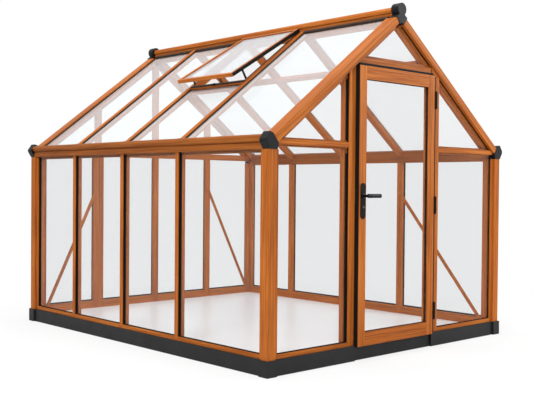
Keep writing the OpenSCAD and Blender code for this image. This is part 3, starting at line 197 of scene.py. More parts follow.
def grainSpace(tree, place, direction):
    # Coordinates along and across one direction
    along = Vector(direction).normalized()
    side = acrossFrom(along)
    combine = addNode(tree, "CombineXYZ")
    for i, axis in enumerate((along, side, along.cross(side))):
        dot = addNode(tree, "VectorMath", operation="DOT_PRODUCT")
        plug(tree, place, dot.inputs[0])
        dot.inputs[1].default_value = axis
        plug(tree, dot.outputs["Value"], combine.inputs[i])
    return combine.outputs[0]


def grainNoise(tree, grain, layer):
    stretched = stretch(tree, grain, (layer["along"], layer["across"], layer["across"]))
    return noise(tree, stretched, 1, layer["detail"], layer["roughness"])


def woodMaterial(name, direction, folded=False, second=None, chooser=None, paintedShade=1.0):
    # The chooser is 1 where the grain runs in the first direction, 0 where in the second
    look = woodLook
    material, tree, output = startMaterial(name)
    place = objectPlace(tree)
    if folded:  # the same on both slopes
        absolute = addNode(tree, "VectorMath", operation="ABSOLUTE")
        plug(tree, place, absolute.inputs[0])
        place = absolute.outputs[0]
    grain = grainSpace(tree, place, direction)
    if second:
        mixer = addNode(tree, "Mix", data_type="VECTOR")
        plug(tree, chooser(tree), mixer.inputs["Factor"])
        plug(tree, grainSpace(tree, place, second), mixer.inputs[4])  # vector A
        plug(tree, grain, mixer.inputs[5])  # vector B
        grain = mixer.outputs[1]
    fibres = grainNoise(tree, grain, look["fibres"])
    streaks = grainNoise(tree, grain, look["streaks"])
    broad = grainNoise(tree, grain, look["rings"])
    rings = calc(tree, "SINE", calc(tree, "MULTIPLY", broad, look["ringCount"] * 2 * pi))
    rings = remap(tree, rings, -1, 1, 0, 1)
    patches = grainNoise(tree, grain, look["patches"])
    mixed = calc(tree, "MULTIPLY", fibres, look["fibres"]["share"])
    for layer, value in (("rings", rings), ("streaks", streaks), ("patches", patches)):
        mixed = calc(tree, "ADD", mixed, calc(tree, "MULTIPLY", value, look[layer]["share"]))
    # A paintedShade below 1 darkens all three stain tones: painted shade, used on the eave beams
    stain = [tuple(part * paintedShade for part in look[tone]) for tone in ("dark", "middle", "light")]
    colour = colourRamp(tree, mixed, list(zip(look["tonePlaces"], stain)))
    rough = remap(tree, fibres, *look["glossRange"], look["roughHigh"], look["roughLow"])
    relief = bumped(tree, mixed, look["bumpStrength"], look["bumpDepth"])
    shader = addNode(tree, "BsdfPrincipled")
    shader.inputs["Specular IOR Level"].default_value = look["shine"]
    plug(tree, colour, shader.inputs["Base Color"])
    plug(tree, rough, shader.inputs["Roughness"])
    plug(tree, relief, shader.inputs["Normal"])
    plug(tree, shader.outputs[0], output.inputs[0])
    return material


def onSideBars(centreY, halfWidth):
    # 1 on the two bars that run down the slope, 0 between them
    def choose(tree):
        y = objectAxes(tree)[1]
        away = calc(tree, "ABSOLUTE", calc(tree, "SUBTRACT", y, centreY))
        return calc(tree, "GREATER_THAN", away, halfWidth)
    return choose


sideBarWidth = {"vent": 0.024, "curb": 0.034}
ventLow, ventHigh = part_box("vent_frame")
curbLow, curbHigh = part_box("vent_curb")
ventMiddleY = (ventLow.y + ventHigh.y) / 2
ventBars = onSideBars(ventMiddleY, (ventHigh.y - ventLow.y) / 2 - sideBarWidth["vent"])
curbBars = onSideBars(ventMiddleY, (curbHigh.y - curbLow.y) / 2 - sideBarWidth["curb"])

braceSet = {
    "rearWall": (-0.47, 0, 0.9),  # the way the grain runs
    "rightWall": (0, 0.77, 0.9),
    "rightWallStart": 1.1,  # x beyond which a brace is on the right wall
}


def onRearWall(tree):
    return calc(tree, "LESS_THAN", objectAxes(tree)[0], braceSet["rightWallStart"])


woods = {
    "upright": woodMaterial("woodUpright", (0, 0, 1)),
    "lengthwise": woodMaterial("woodLengthwise", (0, 1, 0)),
    # The eave beams' wood is darkened as painted shade
    "eaves": woodMaterial("woodEavesPaintedShade", (0, 1, 0), paintedShade=woodLook["eavesPaintedShade"]),
    "crosswise": woodMaterial("woodCrosswise", (1, 0, 0)),
    "sloping": woodMaterial("woodSloping", downSlope, folded=True),
    "vent": woodMaterial("woodVent", downSlope, folded=True, second=(0, 1, 0), chooser=ventBars),
    "curb": woodMaterial("woodCurb", downSlope, folded=True, second=(0, 1, 0), chooser=curbBars),
    "braces": woodMaterial("woodBraces", braceSet["rearWall"], folded=True,
                           second=braceSet["rightWall"], chooser=onRearWall),
}
woodUse = {
    "upright": ["corner_posts", "side_mullions", "rear_mullions", "latch_post", "hinge_post",
                "door_stiles"],
    "lengthwise": ["side_bottom_rails", "ridge_beam", "roof_purlin", "vent_sill"],
    "eaves": ["eave_beam_left", "eave_beam_right"],
    "crosswise": ["rear_bottom_rails", "front_bottom_rails", "front_eave_rails", "rear_eave_rail",
                  "door_lintel", "door_rails", "floor_bearers"],
    "sloping": ["gable_rafters_front", "gable_rafters_rear", "roof_bars_left", "roof_bars_right"],
    "vent": ["vent_frame"],
    "curb": ["vent_curb"],
    "braces": ["wind_braces"],
}
print("timber ready")


# Dark coated metal, moulded plastic, rubber, lock metal and the pale floor panel; the roof seals
# are brown painted shade
coatSet = {
    "fineShare": 0.6,
    "cloudShare": 0.4,
    "cloudScale": 9,
    "toneRange": (0.3, 0.7),  # noise from the darker, duller end to the lighter, smoother one
    "bumpStrength": 0.35,
    "brushStretch": (1, 1, 0.03),
}


def coatedMaterial(look):
    material, tree, output = startMaterial(look["name"])
    place = objectPlace(tree)
    if look.get("brushed"):
        place = stretch(tree, place, coatSet["brushStretch"])
    fine = noise(tree, place, look["grain"], 3, 0.6)
    cloudy = noise(tree, place, coatSet["cloudScale"], 3, 0.5)
    fineShare = calc(tree, "MULTIPLY", fine, coatSet["fineShare"])
    mixed = calc(tree, "ADD", fineShare, calc(tree, "MULTIPLY", cloudy, coatSet["cloudShare"]))
    low, high = coatSet["toneRange"]
    lower = tuple(part * (1 - look["spread"]) for part in look["colour"])
    upper = tuple(part * (1 + look["spread"]) for part in look["colour"])
    colour = colourRamp(tree, mixed, [(low, lower), (high, upper)])
    rough = remap(tree, mixed, low, high, look["roughHigh"], look["roughLow"])
    relief = bumped(tree, fine, coatSet["bumpStrength"], look["bumpDepth"])
    shader = addNode(tree, "BsdfPrincipled")
    shader.inputs["Metallic"].default_value = look.get("metallic", 0.0)
    shader.inputs["Specular IOR Level"].default_value = look["shine"]
    plug(tree, colour, shader.inputs["Base Color"])
    plug(tree, rough, shader.inputs["Roughness"])
    plug(tree, relief, shader.inputs["Normal"])
    plug(tree, shader.outputs[0], output.inputs[0])
    return material


# Spread is the change of tone to each side, grain the scale of the fine noise
finishLooks = {
    "base": {"name": "baseCoating", "colour": (0.0125, 0.0130, 0.0138), "spread": 0.25,
             "grain": 900, "roughLow": 0.45, "roughHigh": 0.62, "bumpDepth": 0.0003,
             "shine": 0.22},
    "connector": {"name": "connectorPlastic", "colour": (0.0055, 0.0060, 0.0072), "spread": 0.35,
                  "grain": 300, "roughLow": 0.36, "roughHigh": 0.56, "bumpDepth": 0.0012,
                  "shine": 0.16},
    # The roof and ridge seals are coloured dark brown: painted shade, so they read as the shaded
    # side of the timber bars
    "roofSealPaintedShade": {"name": "roofSealPaintedShade", "colour": (0.040, 0.019, 0.009), "spread": 0.25,
                   "grain": 700, "roughLow": 0.55, "roughHigh": 0.72, "bumpDepth": 0.0002,
                   "shine": 0.3},
    "rubber": {"name": "sealRubber", "colour": (0.0050, 0.0050, 0.0055), "spread": 0.2,
               "grain": 700, "roughLow": 0.60, "roughHigh": 0.76, "bumpDepth": 0.0002,
               "shine": 0.16},
    "hardware": {"name": "hardwareCoating", "colour": (0.0040, 0.0040, 0.0046), "spread": 0.25,
                 "grain": 1100, "roughLow": 0.18, "roughHigh": 0.32, "bumpDepth": 0.0001,
                 "shine": 0.15},
    "steel": {"name": "lockSteel", "colour": (0.56, 0.56, 0.57), "spread": 0.1,
              "grain": 1500, "roughLow": 0.26, "roughHigh": 0.42, "bumpDepth": 0.00005,
              "shine": 0.3, "metallic": 1.0, "brushed": True},
    "nickel": {"name": "darkNickel", "colour": (0.10, 0.10, 0.105), "spread": 0.1,
               "grain": 1500, "roughLow": 0.30, "roughHigh": 0.45, "bumpDepth": 0.00005,
               "shine": 0.3, "metallic": 1.0},
    "deck": {"name": "deckPanel", "colour": (0.925, 0.945, 0.955), "spread": 0.012,
             "grain": 60, "roughLow": 0.28, "roughHigh": 0.36, "bumpDepth": 0.0001,
             "shine": 0.3},
}
finishes = {key: coatedMaterial(look) for key, look in finishLooks.items()}
finishUse = {
    "base": ["base_rails", "door_threshold", "base_corner_covers"],
    "connector": ["eave_connectors", "ridge_connectors"],
    "roofSealPaintedShade": ["ridge_seals", "roof_seals"],
    "rubber": ["bar_foot_clips", "wall_seals", "gable_seals", "vent_edge_seals", "door_seals"],
    "hardware": ["vent_hinge_rod", "vent_stay_bracket", "vent_stay", "vent_stay_peg",
                 "hinge_post_leaves", "hinge_door_leaves", "handle_plates", "door_levers"],
    "steel": ["lock_case", "latch_bolt", "strike_plate"],
    "nickel": ["key_cylinder"],
    "deck": ["floor_deck"],
}
print("finishes ready")


# Glazing: clear sheet with a slight veil and faint ribs
glassSet = {
    "ribsPerMetre": 95,
    "ribsAtScaleOne": 3.183,  # per metre, from the wave texture
    "cloudsPerMetre": 7,
    "cloudRange": (0.3, 0.7),
    "cloudSpread": 0.06,  # change of the veil to each side
    "mirrorPower": 4.0,
    "lampClear": (0.96, 0.96, 0.96),  # what the panes let through to the lamps
    "bandFront": 0.058,  # the frosted band along a roof bar, from the bar's middle
    "bandRear": 0.034,
    "bandFade": 0.004,
}
flangeHalf = 0.027  # half the width of a bar's flange
barLow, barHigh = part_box("roof_bars_left")
barFirst = barLow.y + flangeHalf
barSpacing = (barHigh.y - barLow.y - 2 * flangeHalf) / 2


def besideBars(tree, y):
    # 1 in the frosted band along each roof bar, 0 in the open part of a pane
    front, rear, fade = glassSet["bandFront"], glassSet["bandRear"], glassSet["bandFade"]
    away = calc(tree, "SUBTRACT", y, barFirst + barSpacing)
    away = calc(tree, "WRAP", away, barSpacing / 2, -barSpacing / 2)
    frontSide = remap(tree, away, -front - fade, -front, 0, 1)
    rearSide = remap(tree, away, rear, rear + fade, 1, 0)
    inBays = calc(tree, "GREATER_THAN", y, barFirst - barSpacing / 2)
    return calc(tree, "MULTIPLY", calc(tree, "MULTIPLY", frontSide, rearSide), inBays)


def glazingMaterial(name, look):
    material, tree, output = startMaterial(name)
    x, y, z = objectAxes(tree)
    combine = addNode(tree, "CombineXYZ")
    plug(tree, calc(tree, "ADD", x, y) if look["upright"] else y, combine.inputs[0])
    along = combine.outputs[0]
    ribs = addNode(tree, "TexWave", wave_type="BANDS", bands_direction="X", wave_profile="SIN")
    plug(tree, along, ribs.inputs["Vector"])
    ribs.inputs["Scale"].default_value = glassSet["ribsPerMetre"] / glassSet["ribsAtScaleOne"]
    cloudy = noise(tree, stretch(tree, along, (glassSet["cloudsPerMetre"], 1, 1)), 1, 3, 0.6)
    thin, thick = (look["veil"] * (1 + side * glassSet["cloudSpread"]) for side in (-1, 1))
    veil = remap(tree, cloudy, *glassSet["cloudRange"], thin, thick)
    ribVeil = calc(tree, "MULTIPLY", ribs.outputs["Fac"], look["ribVeil"])
    veil = calc(tree, "ADD", veil, ribVeil)
    if "band" in look:
        band = calc(tree, "MULTIPLY", besideBars(tree, y), look["band"])
        veil = calc(tree, "MAXIMUM", veil, band)
    facing = addNode(tree, "LayerWeight")
    facing.inputs["Blend"].default_value = 0.5
    gloss = calc(tree, "POWER", facing.outputs["Facing"], glassSet["mirrorPower"])
    share = calc(tree, "ADD", veil, calc(tree, "MULTIPLY", gloss, look["mirror"]))
    share = calc(tree, "MINIMUM", share, 1.0)
    clear = addNode(tree, "BsdfTransparent")
    clear.inputs[0].default_value = (*look["tint"], 1)
    body = addNode(tree, "BsdfPrincipled")
    body.inputs["Base Color"].default_value = (*look["body"], 1)
    body.inputs["Roughness"].default_value = look["frost"]
    seenPane = mixShaders(tree, share, clear.outputs[0], body.outputs[0])
    lampClear = addNode(tree, "BsdfTransparent")
    lampClear.inputs[0].default_value = (*glassSet["lampClear"], 1)
    shadowRay = addNode(tree, "LightPath").outputs["Is Shadow Ray"]
    pane = mixShaders(tree, shadowRay, seenPane, lampClear.outputs[0])
    plug(tree, pane, output.inputs[0])
    return material


# Veil and band are shares of the surface that stay white, tint is what comes through the rest
glazingLooks = {
    "gable": {"veil": 0.005, "ribVeil": 0.003, "mirror": 0.3, "upright": True, "frost": 0.12,
              "tint": (0.985, 0.989, 0.99), "body": (0.80, 0.81, 0.82)},
    "front": {"veil": 0.012, "ribVeil": 0.003, "mirror": 0.3, "upright": True, "frost": 0.12,
              "tint": (0.955, 0.957, 0.959), "body": (0.72, 0.73, 0.74)},
    "wall": {"veil": 0.022, "ribVeil": 0.005, "mirror": 0.35, "upright": True, "frost": 0.12,
             "tint": (0.945, 0.948, 0.95), "body": (0.70, 0.71, 0.72)},
    # Both slopes hold the same panes: the left slope's stronger veil and band are painted light,
    # the haze of its lit outer face; the right slope's weaker ones are painted shade, its face seen
    # from the unlit inside
    "roof": {"veil": 0.21, "ribVeil": 0.02, "mirror": 0.3, "upright": False, "frost": 0.25,
             "tint": (0.98, 0.985, 0.988), "body": (0.74, 0.775, 0.79), "band": 0.36},
    "roofRightShadedCopy": {"veil": 0.07, "ribVeil": 0.01, "mirror": 0.3, "upright": False, "frost": 0.25,
                  "tint": (0.98, 0.985, 0.988), "body": (0.78, 0.80, 0.81), "band": 0.16},
    "vent": {"veil": 0.36, "ribVeil": 0.02, "mirror": 0.3, "upright": False, "frost": 0.2,
             "tint": (0.97, 0.98, 0.985), "body": (0.62, 0.645, 0.67)},
}
glazings = {key: glazingMaterial(key + "Glazing", look) for key, look in glazingLooks.items()}
glazingUse = {
    "gable": ["gable_panes"],
    "front": ["rear_panes", "front_panes", "door_pane"],
    "wall": ["side_panes_left", "side_panes_right"],
    # The left roof panes take the painted-light copy, the right ones the painted-shade copy
    "roof": ["roof_panes_left"],
    "roofRightShadedCopy": ["roof_panes_right"],
    "vent": ["vent_pane"],
}
for materials, use in ((woods, woodUse), (finishes, finishUse), (glazings, glazingUse)):
    for key, names in use.items():
        for name in names:
            cadNodes[name].material_slots[0].material = materials[key]
print("materials on the frame")


# Rounded edges on the frame's own pieces, as modifiers
edgeSet = {
    "weldDistance": 0.00002,
    "leastAngle": 32,  # degrees
    "connector": {"width": 0.0035, "segments": 3},
    "plates": {"width": 0.0025, "segments": 3},
    "wood": {"width": 0.0012, "segments": 2},
}
edgeUse = {
    "connector": ["eave_connectors", "ridge_connectors"],
    "plates": ["handle_plates"],
    "wood": ["door_stiles", "door_rails", "vent_frame", "vent_sill", "roof_purlin",
             "floor_bearers", "wind_braces"],
}


def softenEdges(piece, width, segments):
    weld = piece.modifiers.new("weld", "WELD")
    weld.merge_threshold = edgeSet["weldDistance"]
    bevel = piece.modifiers.new("roundEdges", "BEVEL")
    bevel.width = width
    bevel.segments = segments
    bevel.limit_method = "ANGLE"
    bevel.angle_limit = radians(edgeSet["leastAngle"])
    bevel.use_clamp_overlap = True
    bevel.harden_normals = True


for kind, names in edgeUse.items():
    for name in names:
        softenEdges(cadNodes[name], edgeSet[kind]["width"], edgeSet[kind]["segments"])
print("edges rounded")


# Helpers for new pieces
mergeDistance = 0.000005
rubberRounding = 0.0006


def newPiece(bm, name, material, body, smooth=None):
    bmesh.ops.remove_doubles(bm, verts=bm.verts, dist=mergeDistance)
    bmesh.ops.recalc_face_normals(bm, faces=bm.faces)
    mesh = bpy.data.meshes.new(name)
    bm.to_mesh(mesh)
    bm.free()
    mesh.materials.append(material)
    piece = bpy.data.objects.new(name, mesh)
    scene.collection.objects.link(piece)
    if smooth is not None:  # edges flatter than this many degrees look round
        mesh.shade_smooth()
        mesh.set_sharp_from_angle(angle=radians(smooth))
    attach(piece, body)
    return piece


def turnedShape(bm, profile, centre, axis, steps=28):
    # A profile of (radius, height) pairs spun round an axis
    centre, axis = Vector(centre), Vector(axis).normalized()
    side = acrossFrom(axis)
    made = [bm.verts.new(centre + side * r + axis * h) for r, h in profile]
    edges = [bm.edges.new(pair) for pair in zip(made, made[1:])]
    bmesh.ops.spin(bm, geom=made + edges, cent=centre, axis=axis, angle=2 * pi, steps=steps,
                   use_merge=True)


def roundedBlock(bm, low, high, rounding, segments):
    low, high = Vector(low), Vector(high)
    placed = Matrix.Translation((low + high) / 2) @ Matrix.Diagonal((*(high - low), 1))
    made = bmesh.ops.create_cube(bm, size=1, matrix=placed)
    edges = list({e for v in made["verts"] for e in v.link_edges})
    bmesh.ops.bevel(bm, geom=edges, offset=rounding, offset_type="OFFSET", affect="EDGES",
                    segments=segments, profile=0.5, material=-1)


def rubberBlock(bm, corner, opposite):
    # A strip of rubber between two corners in any order
    low = [min(pair) for pair in zip(corner, opposite)]
    high = [max(pair) for pair in zip(corner, opposite)]
    roundedBlock(bm, low, high, rubberRounding, 1)


# Door hardware
doorSet = {
    "faceY": -1.413,  # outer face of the leaf
    "backY": -1.369,
    "leverX": -0.395,
    "leverZ": 1.060,
    "leverLength": 0.125,
    "leverOut": 0.048,
    "gripOval": 1.28,  # height of the grip against its depth
    "plateThick": 0.007,
    "plateTop": 0.082,  # above and below the levers
    "plateBottom": -0.148,
}


def leverHalf(bm, side):
    # One lever: a neck out of the plate and a turned grip with two rings and a domed end
    faceY = doorSet["faceY"] if side < 0 else doorSet["backY"]
    x, z = doorSet["leverX"], doorSet["leverZ"]
    reach, length = doorSet["leverOut"], doorSet["leverLength"]
    neckProfile = [(0, 0.0066), (0.0160, 0.0066), (0.0160, 0.0085), (0.0148, 0.0108),
                   (0.0092, 0.0120), (0.0086, 0.020), (0.0086, reach - 0.005),
                   (0.0098, reach), (0, reach)]
    gripProfile = [(0, -0.0108), (0.0042, -0.0102), (0.0080, -0.0074), (0.0104, -0.0024),
                   (0.0107, 0.0050), (0.0102, 0.0130), (0.0090, 0.0150), (0.0090, 0.0172),
                   (0.0106, 0.0188), (0.0106, 0.0222), (0.0090, 0.0238), (0.0090, 0.0262),
                   (0.0102, 0.0278), (0.0100, length * 0.55), (0.0104, length - 0.012),
                   (0.0108, length - 0.007), (0.0098, length - 0.0030),
                   (0.0060, length - 0.0008), (0, length)]
    turnedShape(bm, neckProfile, (x, faceY, z), (0, side, 0))
    earlier = set(bm.verts)
    turnedShape(bm, gripProfile, (x, faceY + side * reach, z), (1, 0, 0))
    grip = [v for v in bm.verts if v not in earlier]
    bmesh.ops.scale(bm, vec=(1, 1, doorSet["gripOval"]), space=Matrix.Translation((0, 0, -z)),
                    verts=grip)


bm = bmesh.new()
leverHalf(bm, -1)
leverHalf(bm, 1)
leverSet = newPiece(bm, "leverSet", finishes["hardware"], "levers", smooth=35)
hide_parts("door_levers")

screwSet = {
    "radius": 0.0042,
    "sunk": 0.0005,
    "top": 0.62,  # this and the next two are shares of the radius
    "rim": 0.55,
    "socketDepth": 0.4,
    "socketTaper": 0.85,
    "steps": 20,
    "fromEnd": 0.016,  # from the end of the plate
}


def screwHead(bm, centre, out):
    # A domed head with a round socket
    centre, out = Vector(centre), Vector(out).normalized()
    radius, sunk, top = screwSet["radius"], screwSet["sunk"], screwSet["top"]
    profile = [(0, -sunk), (radius, -sunk), (radius, radius * 0.25), (radius * 0.86, radius * 0.5),
               (radius * screwSet["rim"], radius * top)]
    turnedShape(bm, profile, centre, out, screwSet["steps"])

    def atRim(v):
        away = v.co - centre
        return away.dot(out) > radius * 0.6 and away.length < radius * 1.5

    rim = [e for e in bm.edges if e.is_boundary and all(atRim(v) for v in e.verts)]
    cup = bmesh.ops.extrude_edge_only(bm, edges=rim)["geom"]
    middle = centre + out * radius * top
    for v in [part for part in cup if isinstance(part, bmesh.types.BMVert)]:
        tapered = (v.co - middle) * screwSet["socketTaper"]
        v.co = middle + tapered - out * radius * screwSet["socketDepth"]
    cupEdges = [part for part in cup if isinstance(part, bmesh.types.BMEdge)]
    bmesh.ops.holes_fill(bm, edges=cupEdges, sides=0)


bm = bmesh.new()
for side, faceY in ((-1, doorSet["faceY"] - doorSet["plateThick"]),
                    (1, doorSet["backY"] + doorSet["plateThick"])):
    for z in (doorSet["plateTop"] - screwSet["fromEnd"],
              doorSet["plateBottom"] + screwSet["fromEnd"]):
        screwHead(bm, (doorSet["leverX"], faceY, doorSet["leverZ"] + z), (0, side, 0))
newPiece(bm, "plateScrews", finishes["hardware"], "door", smooth=40)

# Rubber bead round the door's pane, on both faces
beadSet = {
    "width": 0.003,
    "outerDepth": 0.010,
    "innerDepth": 0.004,
    "clearance": 0.0002,  # from the pane
    "stileWidth": 0.068,
    "bottomRail": 0.088,
    "topRail": 0.085,
}
doorPaneLow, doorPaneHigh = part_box("door_pane")
doorLow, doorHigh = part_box("door_stiles")
openLow = Vector((doorLow.x + beadSet["stileWidth"], 0, doorLow.z + beadSet["bottomRail"]))
openHigh = Vector((doorHigh.x - beadSet["stileWidth"], 0, doorHigh.z - beadSet["topRail"]))


def frameStrip(bm, low, high, y0, y1, width):
    # Four strips along the inner edges of a rectangular opening, between two depths
    for x in (low.x, high.x - width):
        rubberBlock(bm, (x, y0, low.z), (x + width, y1, high.z))
    for z in (low.z, high.z - width):
        rubberBlock(bm, (low.x + width, y0, z), (high.x - width, y1, z + width))


bm = bmesh.new()
frameStrip(bm, openLow, openHigh, doorPaneLow.y - beadSet["outerDepth"],
           doorPaneLow.y - beadSet["clearance"], beadSet["width"])
frameStrip(bm, openLow, openHigh, doorPaneHigh.y + beadSet["clearance"],
           doorPaneHigh.y + beadSet["innerDepth"], beadSet["width"])
newPiece(bm, "doorPaneBead", finishes["rubber"], "door")
print("door hardware made")

# Rubber lips along the foot of each pane and beside the bars, on both faces of the glass
gasketSet = {
    "sideFace": 1.2,  # outer faces of the posts, of the side walls and of both gables
    "frontFace": -1.398,
    "rearFace": 1.462,
    "glassDepth": 0.036,  # from the outer face of the posts to that of the panes
    "glassThick": 0.004,
    "outerClearance": 0.0002,  # from the glass
    "innerClearance": 0.0001,
    "footLow": 0.121,
    "footHigh": 0.130,
    "footDepth": 0.010,
    "footNoseHalf": 0.017,  # half the gap that a bar leaves between two foot lips
    "footPastPost": 0.012,  # how far a foot lip passes the flange edge of a door post
    "sideWidth": 0.006,
    "sideDepth": 0.0025,
    "sideTop": 1.33,
    "noseHalf": 0.0172,  # half the width of a bar's nose, outside the glass
    "noseWidth": 0.017,
    "doorPostFlange": 0.0262,  # from the flange edge of a door post to its nose
    "cornerDepth": 0.09,  # from the face of a gable to the nose of its corner posts
    "cornerX": 1.11,  # the same noses along the gables
    "gableLow": 0.002,  # above the eave rail
    "gableTop": 1.80,
    "rearBars": (-0.6, 0.0, 0.6),
    "pairHalf": 0.024,  # half the spacing of the twin bars at the first of these
}


def wallBlock(bm, acrossX, depths, span, heights):
    # A strip on a wall that runs along X or along Y
    (v0, v1), (start, stop), (low, high) = depths, span, heights
    if acrossX:
        rubberBlock(bm, (start, v0, low), (stop, v1, high))
    else:
        rubberBlock(bm, (v0, start, low), (v1, stop, high))


def footLips(bm, outerFace, mullions, ends, acrossX):
    # A lip in front of each pane of a wall, between the noses of its bars
    inward = -1 if outerFace > 0 else 1
    v0 = outerFace + inward * (gasketSet["glassDepth"] - gasketSet["footDepth"])
    v1 = outerFace + inward * (gasketSet["glassDepth"] - gasketSet["outerClearance"])
    half = gasketSet["footNoseHalf"]
    noses = [place + side * half for place in mullions for side in (-1, 1)]
    marks = [ends[0], *noses, ends[1]]
    for span in zip(marks[::2], marks[1::2]):
        wallBlock(bm, acrossX, (v0, v1), span, (gasketSet["footLow"], gasketSet["footHigh"]))


def sideLips(bm, outerFace, edges, acrossX):
    # Strips on the inner face of the glass, just beyond the flange edges of the bars
    inward = -1 if outerFace > 0 else 1
    glassInside = gasketSet["glassDepth"] + gasketSet["glassThick"]
    v0 = outerFace + inward * (glassInside + gasketSet["innerClearance"])
    v1 = v0 + inward * gasketSet["sideDepth"]
    for edge, outward in edges:
        far = edge + outward * gasketSet["sideWidth"]
        wallBlock(bm, acrossX, (v0, v1), (edge, far), (gasketSet["footHigh"], gasketSet["sideTop"]))


def noseLips(bm, outerFace, edges):
    # Strips on the outer face of a side wall's glass, beside the noses of bars and corner posts
    inward = -1 if outerFace > 0 else 1
    v1 = outerFace + inward * (gasketSet["glassDepth"] - gasketSet["outerClearance"])
    v0 = v1 - inward * gasketSet["sideDepth"]
    for near, side in edges:
        far = near + side * gasketSet["noseWidth"]
        wallBlock(bm, False, (v0, v1), (near, far), (gasketSet["footHigh"], gasketSet["sideTop"]))


frontFace, rearFace = gasketSet["frontFace"], gasketSet["rearFace"]
latchLow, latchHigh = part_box("latch_post")
hingeLow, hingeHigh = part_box("hinge_post")
barYs = [barFirst + i * barSpacing for i in range(3)]
postEdges = (frontFace + gasketSet["cornerDepth"], rearFace - gasketSet["cornerDepth"])
noseEdges = [(y + side * gasketSet["noseHalf"], side) for y in barYs for side in (-1, 1)]
noseEdges += [(postEdges[0], 1), (postEdges[1], -1)]
bm = bmesh.new()
for face in (-gasketSet["sideFace"], gasketSet["sideFace"]):
    footLips(bm, face, barYs, postEdges, False)
    noseLips(bm, face, noseEdges)

# Foot lips of the gables, where the first bar at the rear is a pair
cornerX, pastPost = gasketSet["cornerX"], gasketSet["footPastPost"]
rearBars, pairHalf = gasketSet["rearBars"], gasketSet["pairHalf"]
pairLeft = rearBars[0] - pairHalf - gasketSet["footNoseHalf"]
pairRight = rearBars[0] + pairHalf + gasketSet["footNoseHalf"]
footLips(bm, rearFace, (), (-cornerX, pairLeft), True)
footLips(bm, rearFace, rearBars[1:], (pairRight, cornerX), True)
footLips(bm, frontFace, (), (-cornerX, latchLow.x + pastPost), True)
footLips(bm, frontFace, (), (hingeHigh.x - pastPost, cornerX), True)

# Strips beside the door posts, below and above the eave rail
gableGlass = frontFace + gasketSet["glassDepth"] - gasketSet["outerClearance"]
gableDepths = (gableGlass - gasketSet["sideDepth"], gableGlass)
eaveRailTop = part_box("front_eave_rails")[1].z
gableHeights = ((gasketSet["footHigh"], gasketSet["sideTop"]),
                (eaveRailTop + gasketSet["gableLow"], gasketSet["gableTop"]))
for near, side in ((latchLow.x + gasketSet["doorPostFlange"], -1),
                   (hingeHigh.x - gasketSet["doorPostFlange"], 1)):
    for heights in gableHeights:
        wallBlock(bm, True, gableDepths, (near, near + side * gasketSet["noseWidth"]), heights)

# Inner strips on the far side wall and the rear gable, as seen through the glazing
farEdges = [(y + side * flangeHalf, side) for y in barYs for side in (-1, 1)]
rearEdges = [(rearBars[0] + side * 2 * pairHalf, side) for side in (-1, 1)]
rearEdges += [(x + side * flangeHalf, side) for x in rearBars[1:] for side in (-1, 1)]
sideLips(bm, gasketSet["sideFace"], farEdges, False)
sideLips(bm, rearFace, rearEdges, True)
newPiece(bm, "paneGaskets", finishes["rubber"], "house")

# Rubber flap beside the hinge side of the leaf and strip above the leaf, kept black as painted
# shade for the gaps round the leaf
flapSet = {
    "start": 0.010,  # from the edge of the leaf
    "stop": 0.050,
    "thick": 0.002,
    "clearance": 0.0001,  # from the hinge post
    "stripFront": -1.404,
    "stripBack": -1.376,
    "stripLow": 0.0075,  # above the leaf
    "stripHigh": 0.0168,
}
bm = bmesh.new()
rubberBlock(bm, (doorHigh.x + flapSet["start"], hingeLow.y - flapSet["thick"], hingeLow.z),
            (doorHigh.x + flapSet["stop"], hingeLow.y - flapSet["clearance"], doorHigh.z))
rubberBlock(bm, (latchHigh.x, flapSet["stripFront"], doorHigh.z + flapSet["stripLow"]),
            (hingeLow.x, flapSet["stripBack"], doorHigh.z + flapSet["stripHigh"]))
# Black strips in the door's gaps: rubber, and painted shade for those gaps
newPiece(bm, "doorGapRubberShade", finishes["rubber"], "house")
print("gaskets made")

# Seal strip and knob on the sill under the vent, laid out down the slope from the ridge
sillSet = {
    "ridgeZ": 2.2903,
    "sealStart": 0.7225,  # down the slope
    "sealStop": 0.7395,
    "sealLow": 0.0003,  # off the slope
    "sealHigh": 0.0030,
    "sealInset": 0.001,
    "sealRounding": 0.0008,
    "knobPlace": 0.7320,
    "knobY": -0.139,
    "knobLow": 0.0005,
    "knobProfile": [(0, 0), (0.0105, 0), (0.0118, 0.0020), (0.0125, 0.0060), (0.0120, 0.0100),
                    (0.0095, 0.0128), (0.0050, 0.0140), (0, 0.0142)],
}
downLeft = Vector((-cos(slopeAngle), 0, -sin(slopeAngle)))
offLeft = Vector((-sin(slopeAngle), 0, cos(slopeAngle)))
slopeAxes = Matrix((downLeft, (0, 1, 0), offLeft)).transposed().to_4x4()
slopeSpace = Matrix.Translation((0, 0, sillSet["ridgeZ"])) @ slopeAxes
sillLow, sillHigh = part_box("vent_sill")
bm = bmesh.new()
sealFrom = (sillSet["sealStart"], sillLow.y + sillSet["sealInset"], sillSet["sealLow"])
sealTo = (sillSet["sealStop"], sillHigh.y - sillSet["sealInset"], sillSet["sealHigh"])
roundedBlock(bm, sealFrom, sealTo, sillSet["sealRounding"], 2)
bmesh.ops.transform(bm, matrix=slopeSpace, verts=bm.verts)
newPiece(bm, "ventSillSeal", finishes["rubber"], "house")
bm = bmesh.new()
knobFoot = slopeSpace @ Vector((sillSet["knobPlace"], sillSet["knobY"], sillSet["knobLow"]))
turnedShape(bm, sillSet["knobProfile"], knobFoot, offLeft)
newPiece(bm, "ventKnob", finishes["hardware"], "house", smooth=35)
print("vent sill dressed")

# Pale floor that keeps the shadow near the greenhouse and turns white further out
floorSet = {
    "halfSize": 30,
    "tones": (0.86, 0.88),
    "tonePlaces": (0.4, 0.6),
    "specksPerMetre": 40,
    "fadeStart": 1.8,  # from the middle of the floor
    "fadeStop": 3.2,
    "glowNear": 0.70,
    "glowFar": 1.0,
}


